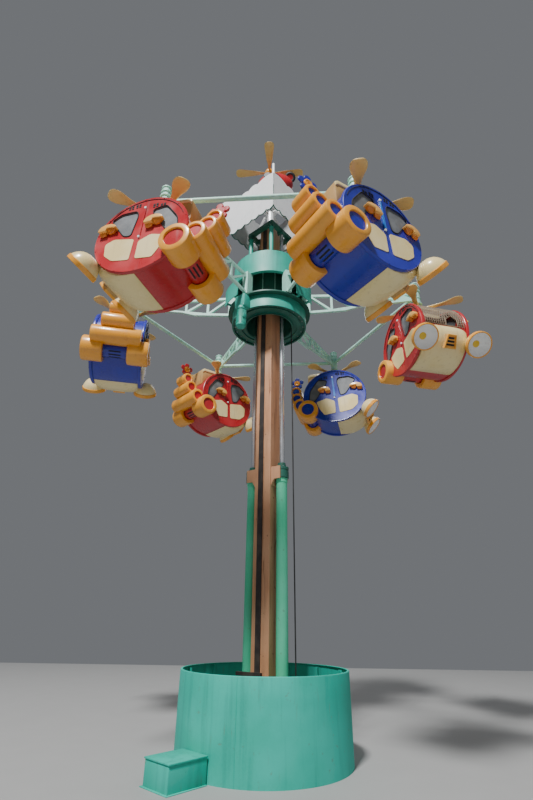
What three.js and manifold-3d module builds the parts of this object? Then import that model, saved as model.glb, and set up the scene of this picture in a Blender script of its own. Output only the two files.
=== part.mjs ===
// Helicopter tower ride: a mast in a round pit wall, a lifting carriage with a turntable and six
// hanging helicopter cabins. Millimetres, +Z up, the middle of the mast foot's underside at the origin.
import * as THREE from "three";
import { mergeVertices } from "three/addons/utils/BufferGeometryUtils.js";
import Module from "manifold-3d";

const wasm = await Module();
wasm.setup();

// Gap left between meshes that rest on each other.
const GAP = 0.3;

// Mast, turned so that one corner looks at the front.
const MAST_TURN = -30.5;
const MAST_SIDE = 290;
const MAST_WALL = 12;
const MAST_TOP = 9150;
const FOOT_SIDE = 800;
const FOOT_THICKNESS = 30;
const BEAM_HALF_WIDTH = 40;
const BEAM_HEIGHT = 50;
const GUSSET_REACH = 210;
const GUSSET_HEIGHT = 420;
const GUSSET_THICKNESS = 16;
const GUSSET_OFFSET = 95;

// Guide strip on the mast's left front face and the bracket at its foot.
const STRIP_CENTRE = -27;
const STRIP_WIDTH = 83;
const STRIP_DEPTH = 18;
const STRIP_TOP = 9000;
const BRACKET_FROM = 920;
const BRACKET_TO = 975;
const BRACKET_LEFT = -350;
const BRACKET_RIGHT = 50;

// Pit wall and box beside it.
const DRUM_RADIUS = 1130;
const DRUM_WALL = 10;
const DRUM_HEIGHT = 1020;
const BOX_CENTRE = [-923.9, -1030.4];
const BOX_TURN = -42;
const BOX_SIZE = [430, 510, 260];

// Lifting cylinders and their rods, along the mast's own X.
const CYLINDER_OFFSET = 270;
const CYLINDER_RADIUS = 84;
const CYLINDER_TOP = 3620;
const COLLAR_TOP = 3800;
const COLLAR_RADIUS = 112;
const GLAND_TOP = 3870;
const GLAND_RADIUS = 70;
const CLAMP_FROM = 3600;
const CLAMP_TO = 3800;
const CLAMP_REACH = 310;
const CLAMP_HALF_WIDTH = 128;
const ROD_RADIUS = 45;
const ROD_TOP = 8820;
const CABLE_RADIUS = 10;
const CABLE_X = 420;

// Carriage.
const CORE_RADIUS = 437;
const CORE_WALL = 12;
const CORE_FROM = 6590;
const CARRIAGE_RADIUS = 700;
const CARRIAGE_FROM = 6580;
const CARRIAGE_TO = 6840;
const SHEET = 12;
const HUB_TOP = 7900;
const HUB_LID_RADIUS = 580;
const LID_HOLE = [800, 352];
const SHOE_GAP = 1;
const FRAME_TURN = -40;
const POST_OFFSET = 276;
const POST_RADIUS = 41.5;
const FLANGE_RADIUS = 70;
const FRAME_OUTER = 325;
const FRAME_INNER = 245;
const FRAME_FROM = 8850;
const FRAME_TO = 8940;
const PAD_HALF = 62;
const MOTOR_AZIMUTH = -126.5;
const MOTOR_DISTANCE = 800;
const MOTOR_RADIUS = 94;
const MOTOR_FROM = 6150;
const GEARBOX_FROM = 6560;
const GEARBOX_TO = 6820;
const GEARBOX_HALF = 110;

// Turntable.
const RING_INNER = 450;
const RING_OUTER = 780;
const RING_FROM = 6840.5;
const RING_TO = 6875;
const BAND_RADIUS = 705;
const BAND_FROM = 7370;
const BAND_TO = 7870;
const BAND_INNER = 560;
const BAND_LIP = 645;
const COVER_RADIUS = 870;
const COVER_FROM = 6846;
const COVER_TO = 7200;
const COVER_AZIMUTHS = [-40, 215];
const COVER_HALF_ANGLE = 15;

// Arms and the hexagon of tie bars.
const HEAD_TURN = -3;
const ARMS = 6;
const TIP_RADIUS = 2806;
const ROOT = [640, 790];
const ROOT_HALF_WIDTH = 55;
const BAR = 48;
const POST_BAR = 42;
const DIAGONAL_BAR = 38;
const UPPER_CHORD = [[770, 7300], [2760, 7250]];
const LOWER_CHORD = [[770, 6911], [1460, 6952], [1720, 7030], [2760, 7130]];
const TRUSS_POSTS = [1200, 1630, 2060, 2490];
const HOUSING_RADIUS = 70;
const HOUSING_FROM = 7000;
const HOUSING_TO = 7500;
const HOUSING_FLANGE = 90;
const BORE_RADIUS = 42;
const BORE_TO = 7400;
const TIE_RADIUS = 38;
const TIE_HEIGHT = 7212;

// Cabins, drawn about their own middle with the nose along +X and the left side along +Y.
const CABIN_HEIGHT = 6140;
const CABIN_RIM = [695, 640];
const CABIN_HULL = [667, 612];
const CABIN_CAVITY = [643, 588];
const RIM_INSIDE = 390;
const RIM_OUTSIDE = 445;
const CAVITY_HALF = 427;
const CABIN_HEADINGS = [-76, -13, 44, 103.5, 163.5, 33.5];
const FRONT_WINDOW = [[485, 361], [338, 444], [93, 432], [68, 332], [137, -12], [249, 11]];
const REAR_WINDOW = [
  [-155, 319], [-162, 390], [-355, 408], [-534, 147], [-560, -69], [-504, -172], [-411, -86],
];
// Hood round the nose: angle below the middle and how far it stands off the hull.
const HOOD = [
  [0, 15], [-6, 70], [-14, 105], [-24, 130], [-36, 145], [-50, 138], [-63, 110], [-76, 60], [-87, 8],
];
const HOOD_INSIDE = [-70, -40, -12, -4];
const LAMP_CENTRE = [798, 486, -451];
const LAMP_TILT = 42.5;
const LAMP_PROFILE = [
  [0, -240], [120, -208], [190, -130], [224, -50], [224, 0], [200, 0], [110, -120], [0, -120],
];
// Logs behind the hull: radius, half length, X and Z, the lowest one in two halves on a hub.
const WHEEL_LOG = { radius: 220, from: 200, to: 562, x: -585, z: -333 };
const WHEEL_HUB_RADIUS = 126;
const LOGS = [
  [165, 422, -776, -152],
  [140, 273, -872, 93],
  [125, 164, -910, 327],
];
const FLOWER = [-898, -45, 600];
const FLOWER_RADIUS = 150;
const FLOWER_THICKNESS = 40;
const STALK_RADIUS = 28;
const FAIRING_HALF_WIDTH = 250;
const FAIRING = [
  [250, 480], [215, 640], [120, 705], [-300, 705], [-560, 680], [-610, 640], [-600, 255], [-480, 330],
  [200, 400],
];
const SHAFT_RADIUS = 40;
const BLADES = 4;
const BLADE_TURN = 50;
const BLADE_FROM = 728;
const BLADE_TO = 764;
const BLADE_OUTLINE = [
  [60, 48], [480, 46], [560, 112], [650, 128], [750, 120], [800, 60],
];

// Open crown of cloud boards round the mast's head, drawn with its corners on the diagonals.
const CROWN_TURN = -40;
const BOARD_LINE = 590;
const BOARD_WALL = 20;
const HEM_TOP = 8925;
const HEM_DEPTH = 50;
const HEM_PITCH = 195;
const HEM_STEP = HEM_PITCH / 4;
// Top edge of a board from the corner it shares with its twin, and the two kinds of far end.
const BOARD_TOP = [
  [0, 9840], [110, 9880], [220, 9900], [330, 9890], [440, 9850], [505, 9890], [570, 9905],
  [635, 9890], [700, 9845], [765, 9875], [830, 9885], [900, 9870], [950, 9830],
];
const FREE_END_FROM = 1170;
const FREE_END = [
  [1240, 8965], [1370, 9060], [1500, 9200], [1610, 9380], [1680, 9600], [1690, 9830], [1650, 9990],
  [1560, 10080], [1400, 10085], [1200, 10030], [1060, 9930],
];
const CORNER_POST_RADIUS = 28;
const CORNER_POST_FROM = 8990;
const CORNER_POST_TOP = 10150;
const CROWN_POST_RADIUS = 77;
const CROWN_DISC = { radius: 170, from: 9690, to: 9720 };
const STAND_RADIUS = 45;
const STAND_TOP = 10225;
const BRACKET_BAR = 44;
const BRACKET_PATH = [[60, 9600], [170, 9560], [290, 9400], [420, 9180], [549, 9095]];
const BRACKET_PAD = { from: 540, halfWidth: 130, low: 8990, high: 9190 };

// Small helicopter on the mast's head.
const ORNAMENT_HUB = [-30, 0, 10900];
const ORNAMENT_BALL = 103;
const ORNAMENT_BODY = { centre: [110, 0, 10500], radii: [400, 230, 280] };
const ORNAMENT_NECK = [[0, 10650], [95, 10650], [80, 10830], [0, 10830]];
const ORNAMENT_WHEEL = [442, 0, 10746];
const ORNAMENT_WHEEL_RADIUS = 125;
const ORNAMENT_WHEEL_WIDTH = 60;
const ORNAMENT_WHEEL_TILT = 35;
const ORNAMENT_TAIL = [300, 0, 10600];
const ORNAMENT_FOOT = { radius: 90, height: 110 };
const ORNAMENT_BLADE = [
  [80, 26], [220, 32], [340, 74], [520, 88], [660, 116], [740, 104], [777, 50],
];

const group = new THREE.Group();
group.name = "helicopter_tower_ride";

const paint = (colour, metalness = 0.1) =>
  new THREE.MeshStandardMaterial({ color: colour, metalness, roughness: 0.5 });
const TEAL = paint("#4fb8a0");
const MINT = paint("#b9dccb");
const DARK_GREEN = paint("#1f4a3e");
const TAN = paint("#b88a6c");
const STEEL = paint("#c9ccce", 0.8);
const DARK = paint("#22262a");
const WHITE = paint("#e9ecec");
const RED = paint("#c4303a");
const BLUE = paint("#2f3fae");
const CREAM = paint("#efe6c4");
const ORANGE = paint("#f0a850");
const CABIN_PAINTS = [RED, BLUE, RED, BLUE, RED, BLUE];

const rad = THREE.MathUtils.degToRad;

// A closed surface as a solid that faces out.
function solidOf(geometry) {
  const bare = new THREE.BufferGeometry();
  bare.setAttribute("position", geometry.getAttribute("position"));
  if (geometry.index) bare.setIndex(geometry.index);
  const merged = mergeVertices(bare, 1e-3);
  const vertProperties = new Float32Array(merged.getAttribute("position").array);
  const triVerts = new Uint32Array(merged.index.array);
  const made = new wasm.Manifold(new wasm.Mesh({ numProp: 3, vertProperties, triVerts }));
  if (made.volume() > 0) return made;
  for (let i = 0; i < triVerts.length; i += 3) {
    const first = triVerts[i];
    triVerts[i] = triVerts[i + 1];
    triVerts[i + 1] = first;
  }
  return new wasm.Manifold(new wasm.Mesh({ numProp: 3, vertProperties, triVerts }));
}

function geometryOf(solid) {
  const mesh = solid.getMesh();
  const points = new Float32Array(mesh.numVert * 3);
  for (let i = 0; i < mesh.numVert; i += 1) {
    points.set(mesh.vertProperties.subarray(i * mesh.numProp, i * mesh.numProp + 3), i * 3);
  }
  const indexed = new THREE.BufferGeometry();
  indexed.setAttribute("position", new THREE.BufferAttribute(points, 3));
  indexed.setIndex(new THREE.BufferAttribute(new Uint32Array(mesh.triVerts), 1));
  const flat = indexed.toNonIndexed();
  flat.computeVertexNormals();
  return flat;
}

const joined = (first, ...rest) => rest.reduce((sum, next) => sum.add(next), first);
const cut = (first, ...rest) => rest.reduce((left, next) => left.subtract(next), first);

function block(x0, x1, y0, y1, z0, z1) {
  const box = new THREE.BoxGeometry(x1 - x0, y1 - y0, z1 - z0);
  return box.translate((x0 + x1) / 2, (y0 + y1) / 2, (z0 + z1) / 2);
}

// Upright round bar.
function upright(radius, z0, z1, x = 0, y = 0, sides = 12) {
  const bar = new THREE.CylinderGeometry(radius, radius, z1 - z0, sides);
  return bar.rotateX(Math.PI / 2).translate(x, y, (z0 + z1) / 2);
}

// Round bar across a cabin, along Y.
function across(radius, y0, y1, x, z, sides = 12) {
  const bar = new THREE.CylinderGeometry(radius, radius, y1 - y0, sides);
  return bar.translate(x, (y0 + y1) / 2, z);
}

// Polygon of X and Y drawn up from z0 to z1.
function plate(points, z0, z1) {
  const shape = new THREE.Shape(points.map(([x, y]) => new THREE.Vector2(x, y)));
  const drawn = new THREE.ExtrudeGeometry(shape, { depth: z1 - z0, bevelEnabled: false });
  return drawn.translate(0, 0, z0);
}

// Polygon of X and Z drawn across from y0 to y1.
function sidePlate(points, y0, y1) {
  return plate(points, 0, y1 - y0).rotateX(Math.PI / 2).translate(0, y1, 0);
}

// Profile of radius and height turned about Z.
function turned(profile, sides) {
  const points = profile.map(([r, z]) => new THREE.Vector2(r, z));
  return new THREE.LatheGeometry(points, sides).rotateX(Math.PI / 2);
}

const closedLoop = (profile) => [...profile, profile[0]];

// Straight bar between two points, round when it has more than four sides.
function barBetween(from, to, width, sides = 4) {
  const a = new THREE.Vector3(...from);
  const b = new THREE.Vector3(...to);
  const run = b.clone().sub(a);
  const bar =
    sides === 4
      ? new THREE.BoxGeometry(width, run.length(), width)
      : new THREE.CylinderGeometry(width / 2, width / 2, run.length(), sides);
  const turn = new THREE.Quaternion().setFromUnitVectors(new THREE.Vector3(0, 1, 0), run.normalize());
  const middle = a.add(b).multiplyScalar(0.5);
  return bar.applyQuaternion(turn).translate(middle.x, middle.y, middle.z);
}

function ellipse([a, b], grow = 0, steps = 20) {
  return Array.from({ length: steps }, (_, i) => {
    const angle = (2 * Math.PI * i) / steps;
    return [(a + grow) * Math.cos(angle), (b + grow) * Math.sin(angle)];
  });
}

function addMesh(name, solid, material, turn = 0, x = 0, y = 0, z = 0) {
  const mesh = new THREE.Mesh(geometryOf(solid), material);
  mesh.name = name;
  mesh.rotation.z = rad(turn);
  mesh.position.set(x, y, z);
  group.add(mesh);
}

function drumHalf(from, to) {
  const steps = 24;
  const outside = [];
  const inside = [];
  for (let i = 0; i <= steps; i += 1) {
    const angle = rad(from + ((to - from) * i) / steps);
    outside.push([DRUM_RADIUS * Math.cos(angle), DRUM_RADIUS * Math.sin(angle)]);
    const inner = DRUM_RADIUS - DRUM_WALL;
    inside.unshift([inner * Math.cos(angle), inner * Math.sin(angle)]);
  }
  return solidOf(plate([...outside, ...inside], 0, DRUM_HEIGHT));
}

function buildGround() {
  const seam = 0.02;
  addMesh("drum_left", drumHalf(90 + seam, 270 - seam), TEAL, -15);
  addMesh("drum_right", drumHalf(-90 + seam, 90 - seam), TEAL, -15);
  const [width, depth, height] = BOX_SIZE;
  const flange = 28;
  const box = joined(
    solidOf(block(-width / 2, width / 2, -depth / 2, depth / 2, 0, height - 12)),
    solidOf(block(-width / 2 - 12, width / 2 + 12, -depth / 2 - 12, depth / 2, height - 14, height)),
    solidOf(block(-width / 2 - flange, width / 2 + flange, -depth / 2 - flange, depth / 2, 0, 8)),
  );
  addMesh("junction_box", box, MINT, BOX_TURN, ...BOX_CENTRE);
}

function buildMast() {
  const half = MAST_SIDE / 2;
  const inner = half - MAST_WALL;
  const foot = solidOf(
    block(-FOOT_SIDE / 2, FOOT_SIDE / 2, -FOOT_SIDE / 2, FOOT_SIDE / 2, 0, FOOT_THICKNESS),
  );
  const start = half + GAP;
  const gussets = [];
  for (const side of [-1, 1]) {
    for (const along of [-GUSSET_OFFSET, GUSSET_OFFSET]) {
      const triangle = [
        [start, FOOT_THICKNESS - 1],
        [start + GUSSET_REACH, FOOT_THICKNESS - 1],
        [start + GUSSET_REACH, FOOT_THICKNESS + 40],
        [start + 30, FOOT_THICKNESS + GUSSET_HEIGHT],
        [start, FOOT_THICKNESS + GUSSET_HEIGHT],
      ];
      const web = sidePlate(triangle, -GUSSET_THICKNESS / 2, GUSSET_THICKNESS / 2);
      gussets.push(solidOf(web.rotateZ(rad(90 * side)).translate(along, 0, 0)));
    }
  }
  // Base beams that reach the pit wall, cut to its inside face.
  const wallInside = solidOf(
    upright(DRUM_RADIUS - DRUM_WALL - GAP, 0, BEAM_HEIGHT, 0, 0, 48).rotateZ(rad(-MAST_TURN)),
  );
  const beams = [45, 135, 225, 315].map((azimuth) => {
    const beam = block(0, DRUM_RADIUS, -BEAM_HALF_WIDTH, BEAM_HALF_WIDTH, 0, BEAM_HEIGHT);
    return solidOf(beam.rotateZ(rad(azimuth))).intersect(wallInside);
  });
  const middle = solidOf(block(-190, 190, -190, 190, FOOT_THICKNESS, BEAM_HEIGHT + 1));
  const footing = cut(joined(foot, ...beams), middle);
  addMesh("mast_foot", joined(footing, ...gussets), TAN, MAST_TURN);

  const low = FOOT_THICKNESS + GAP;
  const mast = cut(
    solidOf(block(-half, half, -half, half, low, MAST_TOP)),
    solidOf(block(-inner, inner, -inner, inner, low - 1, MAST_TOP - MAST_WALL)),
  );
  addMesh("mast", mast, TAN, MAST_TURN);

  const face = -half - GAP;
  const strip = joined(
    solidOf(
      block(
        STRIP_CENTRE - STRIP_WIDTH / 2, STRIP_CENTRE + STRIP_WIDTH / 2,
        face - STRIP_DEPTH, face, BRACKET_FROM, STRIP_TOP,
      ),
    ),
    solidOf(
      block(
        BRACKET_LEFT, BRACKET_RIGHT, face - STRIP_DEPTH - 26, face - 2, BRACKET_FROM, BRACKET_TO,
      ),
    ),
  );
  addMesh("mast_guide_strip", strip, DARK, MAST_TURN);
}

function buildCylinder(name, side) {
  const x = side * CYLINDER_OFFSET;
  const low = FOOT_THICKNESS + GAP;
  const profile = [
    [0, low], [CYLINDER_RADIUS + 16, low], [CYLINDER_RADIUS + 16, low + 30],
    [CYLINDER_RADIUS, low + 30], [CYLINDER_RADIUS, CYLINDER_TOP], [COLLAR_RADIUS, CYLINDER_TOP],
    [COLLAR_RADIUS, COLLAR_TOP], [GLAND_RADIUS, COLLAR_TOP], [GLAND_RADIUS, COLLAR_TOP + 40],
    [GLAND_RADIUS - 8, COLLAR_TOP + 40], [GLAND_RADIUS - 8, GLAND_TOP], [0, GLAND_TOP],
  ];
  const body = solidOf(turned(profile, 16).translate(x, 0, 0));
  addMesh("cylinder_" + name, body, TEAL, MAST_TURN);

  const half = MAST_SIDE / 2 + GAP;
  const web = [
    [half, CLAMP_FROM - 100], [half + 60, CLAMP_FROM], [CLAMP_REACH, CLAMP_FROM],
    [CLAMP_REACH, CLAMP_TO], [half, CLAMP_TO],
  ].map(([r, z]) => [side * r, z]);
  const hole = solidOf(upright(COLLAR_RADIUS + GAP, CLAMP_FROM - 200, CLAMP_TO + 200, x, 0, 16));
  const clamp = cut(solidOf(sidePlate(web, -CLAMP_HALF_WIDTH, CLAMP_HALF_WIDTH)), hole);
  addMesh("cylinder_clamp_" + name, clamp, TAN, MAST_TURN);
}

function buildRod(name, side) {
  const rod = solidOf(
    upright(ROD_RADIUS, GLAND_TOP + GAP, ROD_TOP - GAP, side * CYLINDER_OFFSET, 0, 16),
  );
  addMesh("rod_" + name, rod, STEEL, MAST_TURN);
}

function buildCarriage() {
  const inside = CORE_RADIUS + GAP;
  const base = turned(
    closedLoop([
      [inside, CARRIAGE_FROM], [inside + SHEET, CARRIAGE_FROM], [inside + SHEET, CARRIAGE_TO - SHEET],
      [CARRIAGE_RADIUS - SHEET, CARRIAGE_TO - SHEET], [CARRIAGE_RADIUS - SHEET, CARRIAGE_FROM],
      [CARRIAGE_RADIUS, CARRIAGE_FROM], [CARRIAGE_RADIUS, CARRIAGE_TO], [inside, CARRIAGE_TO],
    ]),
    36,
  );
  addMesh("carriage_base", solidOf(base), TEAL, MAST_TURN);

  const tube = turned(
    closedLoop([
      [CORE_RADIUS - CORE_WALL, CORE_FROM], [CORE_RADIUS, CORE_FROM], [CORE_RADIUS, HUB_TOP - 20],
      [HUB_LID_RADIUS, HUB_TOP - 20], [HUB_LID_RADIUS, HUB_TOP], [CORE_RADIUS - 150, HUB_TOP],
      [CORE_RADIUS - 150, HUB_TOP - 20], [CORE_RADIUS - CORE_WALL, HUB_TOP - 20],
    ]),
    36,
  );
  const lid = solidOf(upright(CORE_RADIUS - 100, HUB_TOP - 20, HUB_TOP, 0, 0, 36));
  const [holeX, holeY] = LID_HOLE;
  const hole = solidOf(
    block(-holeX / 2, holeX / 2, -holeY / 2, holeY / 2, HUB_TOP - 100, HUB_TOP + 10),
  );
  const nearFace = MAST_SIDE / 2 + SHOE_GAP;
  const shoes = [
    solidOf(block(-60, 60, nearFace, 230, HUB_TOP - 60, HUB_TOP)),
    solidOf(block(30, 120, -230, -nearFace, HUB_TOP - 60, HUB_TOP)),
  ];
  addMesh("carriage_core", joined(cut(joined(solidOf(tube), lid), hole), ...shoes), DARK_GREEN, MAST_TURN);

  const posts = [];
  for (const [sx, sy] of [[1, 1], [1, -1], [-1, 1], [-1, -1]]) {
    const x = sx * POST_OFFSET;
    const y = sy * POST_OFFSET;
    posts.push(solidOf(upright(POST_RADIUS, HUB_TOP + GAP, FRAME_FROM + 1, x, y, 10)));
    posts.push(solidOf(upright(FLANGE_RADIUS, FRAME_FROM - 70, FRAME_FROM - 48, x, y, 10)));
    posts.push(solidOf(upright(FLANGE_RADIUS, HUB_TOP + GAP, HUB_TOP + 22, x, y, 10)));
  }
  const ring = cut(
    solidOf(block(-FRAME_OUTER, FRAME_OUTER, -FRAME_OUTER, FRAME_OUTER, FRAME_FROM, FRAME_TO)),
    solidOf(
      block(-FRAME_INNER, FRAME_INNER, -FRAME_INNER, FRAME_INNER, FRAME_FROM - 1, FRAME_TO + 1),
    ),
  );
  const frame = joined(ring, ...posts).rotate([0, 0, FRAME_TURN - MAST_TURN]);
  const pads = [-1, 1].map((side) => {
    const x = side * CYLINDER_OFFSET;
    return solidOf(block(x - PAD_HALF, x + PAD_HALF, -PAD_HALF, PAD_HALF, ROD_TOP, FRAME_TO - 20));
  });
  addMesh("top_frame", joined(frame, ...pads), DARK_GREEN, MAST_TURN);

  buildRod("left", -1);
  buildRod("right", 1);
  addMesh(
    "supply_cable",
    solidOf(upright(CABLE_RADIUS, FOOT_THICKNESS + GAP, CORE_FROM - GAP, CABLE_X, 0, 10)),
    DARK,
    0,
  );

  const bandHole = solidOf(
    upright(CARRIAGE_RADIUS + GAP, 6000, 7000, 0, 0, 36).rotateZ(rad(MAST_TURN - MOTOR_AZIMUTH)),
  );
  const motor = joined(
    solidOf(upright(MOTOR_RADIUS, MOTOR_FROM, GEARBOX_FROM + 1, MOTOR_DISTANCE, 0, 20)),
    solidOf(
      block(
        CARRIAGE_RADIUS - 40, MOTOR_DISTANCE + 60, -GEARBOX_HALF, GEARBOX_HALF,
        GEARBOX_FROM, GEARBOX_TO,
      ),
    ),
  );
  addMesh("gear_motor", cut(motor, bandHole), DARK_GREEN, MOTOR_AZIMUTH);
}

function buildTurntable() {
  const ring = turned(
    closedLoop([
      [RING_INNER, RING_FROM], [RING_OUTER, RING_FROM], [RING_OUTER, RING_TO], [RING_INNER, RING_TO],
    ]),
    36,
  );
  const covers = [];
  for (const azimuth of COVER_AZIMUTHS) {
    const outside = [];
    const inside = [];
    const steps = 6;
    for (let i = 0; i <= steps; i += 1) {
      const angle = rad(azimuth - COVER_HALF_ANGLE + (2 * COVER_HALF_ANGLE * i) / steps);
      outside.push([COVER_RADIUS * Math.cos(angle), COVER_RADIUS * Math.sin(angle)]);
      const inner = COVER_RADIUS - SHEET;
      inside.unshift([inner * Math.cos(angle), inner * Math.sin(angle)]);
    }
    covers.push(solidOf(plate([...outside, ...inside], COVER_FROM, COVER_TO)));
    for (const offset of [-9, 9]) {
      const tab = block(RING_OUTER - 20, COVER_RADIUS - 6, -20, 20, COVER_FROM, RING_TO - 5);
      covers.push(solidOf(tab.rotateZ(rad(azimuth + offset))));
    }
  }
  addMesh("turntable_ring", joined(solidOf(ring), ...covers), DARK_GREEN, 0);

  const band = turned(
    closedLoop([
      [BAND_LIP, BAND_FROM], [BAND_RADIUS, BAND_FROM], [BAND_RADIUS, BAND_TO], [BAND_INNER, BAND_TO],
      [BAND_INNER, BAND_TO - SHEET], [BAND_RADIUS - SHEET, BAND_TO - SHEET],
      [BAND_RADIUS - SHEET, BAND_FROM + SHEET], [BAND_LIP, BAND_FROM + SHEET],
    ]),
    36,
  );
  addMesh("turntable_band", solidOf(band), MINT, 0);
}

// Height of a chord drawn through [radius, height] points.
function chordHeight(chord, r) {
  for (let i = 1; i < chord.length; i += 1) {
    const [r0, z0] = chord[i - 1];
    const [r1, z1] = chord[i];
    if (r <= r1) return z0 + ((z1 - z0) * (r - r0)) / (r1 - r0);
  }
  return chord[chord.length - 1][1];
}

// Triangle between three truss lines, each side moved in by its own share of a bar.
function trussHole(corners, insets) {
  const middle = corners.reduce(([x, y], [cx, cy]) => [x + cx / 3, y + cy / 3], [0, 0]);
  const sides = corners.map(([x0, y0], i) => {
    const [x1, y1] = corners[(i + 1) % 3];
    const length = Math.hypot(x1 - x0, y1 - y0);
    let normal = [(y0 - y1) / length, (x1 - x0) / length];
    const inward = (middle[0] - x0) * normal[0] + (middle[1] - y0) * normal[1];
    if (inward < 0) normal = [-normal[0], -normal[1]];
    return { normal, reach: x0 * normal[0] + y0 * normal[1] + insets[i] };
  });
  return sides.map(({ normal: [a, b], reach: p }, i) => {
    const { normal: [c, d], reach: q } = sides[(i + 1) % 3];
    const scale = a * d - b * c;
    return [(p * d - b * q) / scale, (a * q - p * c) / scale];
  });
}

function buildArms() {
  const half = BAR / 2;
  const outline = [
    ...UPPER_CHORD.map(([r, z]) => [r, z + half]),
    ...LOWER_CHORD.map(([r, z]) => [r, z - half]).reverse(),
  ];
  const holes = [];
  const stations = [UPPER_CHORD[0][0], ...TRUSS_POSTS, TIP_RADIUS - HOUSING_RADIUS];
  for (let i = 1; i < stations.length; i += 1) {
    const [r0, r1] = [stations[i - 1], stations[i]];
    const [top0, top1] = [r0, r1].map((r) => [r, chordHeight(UPPER_CHORD, r)]);
    const [low0, low1] = [r0, r1].map((r) => [r, chordHeight(LOWER_CHORD, r)]);
    const side = POST_BAR / 2;
    holes.push(trussHole([top0, top1, low1], [half, side, DIAGONAL_BAR / 2]));
    if (i < stations.length - 1) {
      holes.push(trussHole([top0, low1, low0], [DIAGONAL_BAR / 2, half, side]));
    }
  }
  const truss = cut(
    solidOf(sidePlate(outline, -half, half)),
    ...holes.map((hole) => solidOf(sidePlate(hole, -BAR, BAR))),
  );
  const root = solidOf(
    block(...ROOT, -ROOT_HALF_WIDTH, ROOT_HALF_WIDTH, RING_TO + GAP, BAND_FROM - GAP),
  );
  const housing = joined(
    solidOf(upright(HOUSING_RADIUS, HOUSING_FROM, HOUSING_TO, TIP_RADIUS)),
    solidOf(upright(HOUSING_FLANGE, 7290, 7312, TIP_RADIUS)),
  );
  const bore = solidOf(upright(BORE_RADIUS, HOUSING_FROM - 1, BORE_TO, TIP_RADIUS));
  const arm = cut(joined(root, truss, housing), bore);
  for (let i = 0; i < ARMS; i += 1) {
    addMesh("arm_" + (i + 1), arm, MINT, HEAD_TURN + (360 / ARMS) * i);
  }

  const spread = rad(180 / ARMS);
  const ends = [-1, 1].map((side) => [
    TIP_RADIUS * Math.cos(spread), side * TIP_RADIUS * Math.sin(spread), TIE_HEIGHT,
  ]);
  const posts = ends.map(([x, y]) => solidOf(upright(HOUSING_RADIUS + GAP, 7000, 7400, x, y)));
  const tie = cut(solidOf(barBetween(ends[0], ends[1], 2 * TIE_RADIUS, 10)), ...posts);
  for (let i = 0; i < ARMS; i += 1) {
    addMesh("tie_bar_" + (i + 1), tie, MINT, HEAD_TURN + (360 / ARMS) * (i + 0.5));
  }
}

// Outside of a cabin, grown by the gap its neighbours keep.
function cabinOutside(grow) {
  return joined(
    solidOf(sidePlate(ellipse(CABIN_HULL, grow), -RIM_INSIDE - grow, RIM_INSIDE + grow)),
    solidOf(sidePlate(ellipse(CABIN_RIM, grow), RIM_INSIDE - grow, RIM_OUTSIDE + grow)),
    solidOf(sidePlate(ellipse(CABIN_RIM, grow), -RIM_OUTSIDE - grow, -RIM_INSIDE + grow)),
  );
}

function cabinSolid() {
  const [a, b] = CABIN_HULL;
  const at = (angle, share) => [a * share * Math.cos(rad(angle)), b * share * Math.sin(rad(angle))];
  const screen = [5, 15, 30, 45, 60, 75];
  const windscreen = [
    ...screen.map((angle) => at(angle, 1.15)),
    ...screen.toReversed().map((angle) => at(angle, 0.85)),
  ];
  const wide = RIM_OUTSIDE + 10;
  const seat = block(-600, -110, -CAVITY_HALF - 2, CAVITY_HALF + 2, -620, -250);
  const back = block(-580, -500, -CAVITY_HALF - 2, CAVITY_HALF + 2, -300, 90);
  const bench = joined(solidOf(seat), solidOf(back)).intersect(
    solidOf(sidePlate(ellipse(CABIN_CAVITY, 6), -CAVITY_HALF - 2, CAVITY_HALF + 2)),
  );
  const shell = cut(
    cabinOutside(0),
    solidOf(sidePlate(ellipse(CABIN_CAVITY), -CAVITY_HALF, CAVITY_HALF)),
  );
  return cut(
    joined(shell, bench),
    solidOf(sidePlate(FRONT_WINDOW, -wide, wide)),
    solidOf(sidePlate(REAR_WINDOW, -wide, -CAVITY_HALF - 1)),
    solidOf(sidePlate(REAR_WINDOW, CAVITY_HALF + 1, wide)),
    solidOf(sidePlate(windscreen, -345, 345)),
  );
}

function noseSolid() {
  const [a, b] = CABIN_HULL;
  const front = HOOD.map(([angle, out]) => [
    (a + out) * Math.cos(rad(angle)),
    (b + out) * Math.sin(rad(angle)),
  ]);
  const inside = HOOD_INSIDE.map((angle) => [
    a * 0.8 * Math.cos(rad(angle)),
    b * 0.8 * Math.sin(rad(angle)),
  ]);
  const shell = solidOf(sidePlate([...front, ...inside], -RIM_INSIDE - 2, RIM_INSIDE + 2));
  const [x, y, z] = LAMP_CENTRE;
  const lamps = [-1, 1].map((side) => {
    const lamp = turned(LAMP_PROFILE, 12).rotateY(Math.PI / 2 + rad(LAMP_TILT));
    return solidOf(lamp.translate(x, side * y, z));
  });
  return cut(joined(shell, ...lamps), cabinOutside(GAP));
}

function tailSolid() {
  const { radius, from, to, x, z } = WHEEL_LOG;
  const logs = [
    solidOf(across(radius, from, to, x, z, 14)),
    solidOf(across(radius, -to, -from, x, z, 14)),
    solidOf(across(WHEEL_HUB_RADIUS, -from - 2, from + 2, x, z, 10)),
    ...LOGS.map(([r, half, logX, logZ]) => solidOf(across(r, -half, half, logX, logZ))),
  ];
  const [flowerX, flowerY, flowerZ] = FLOWER;
  const back = flowerY + FLOWER_THICKNESS;
  logs.push(solidOf(across(FLOWER_RADIUS, flowerY, back, flowerX, flowerZ, 10)));
  const stalkFrom = LOGS[LOGS.length - 1][3];
  logs.push(solidOf(upright(STALK_RADIUS, stalkFrom, flowerZ, flowerX, back + STALK_RADIUS - 8, 8)));
  return cut(joined(...logs), cabinOutside(GAP));
}

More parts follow.
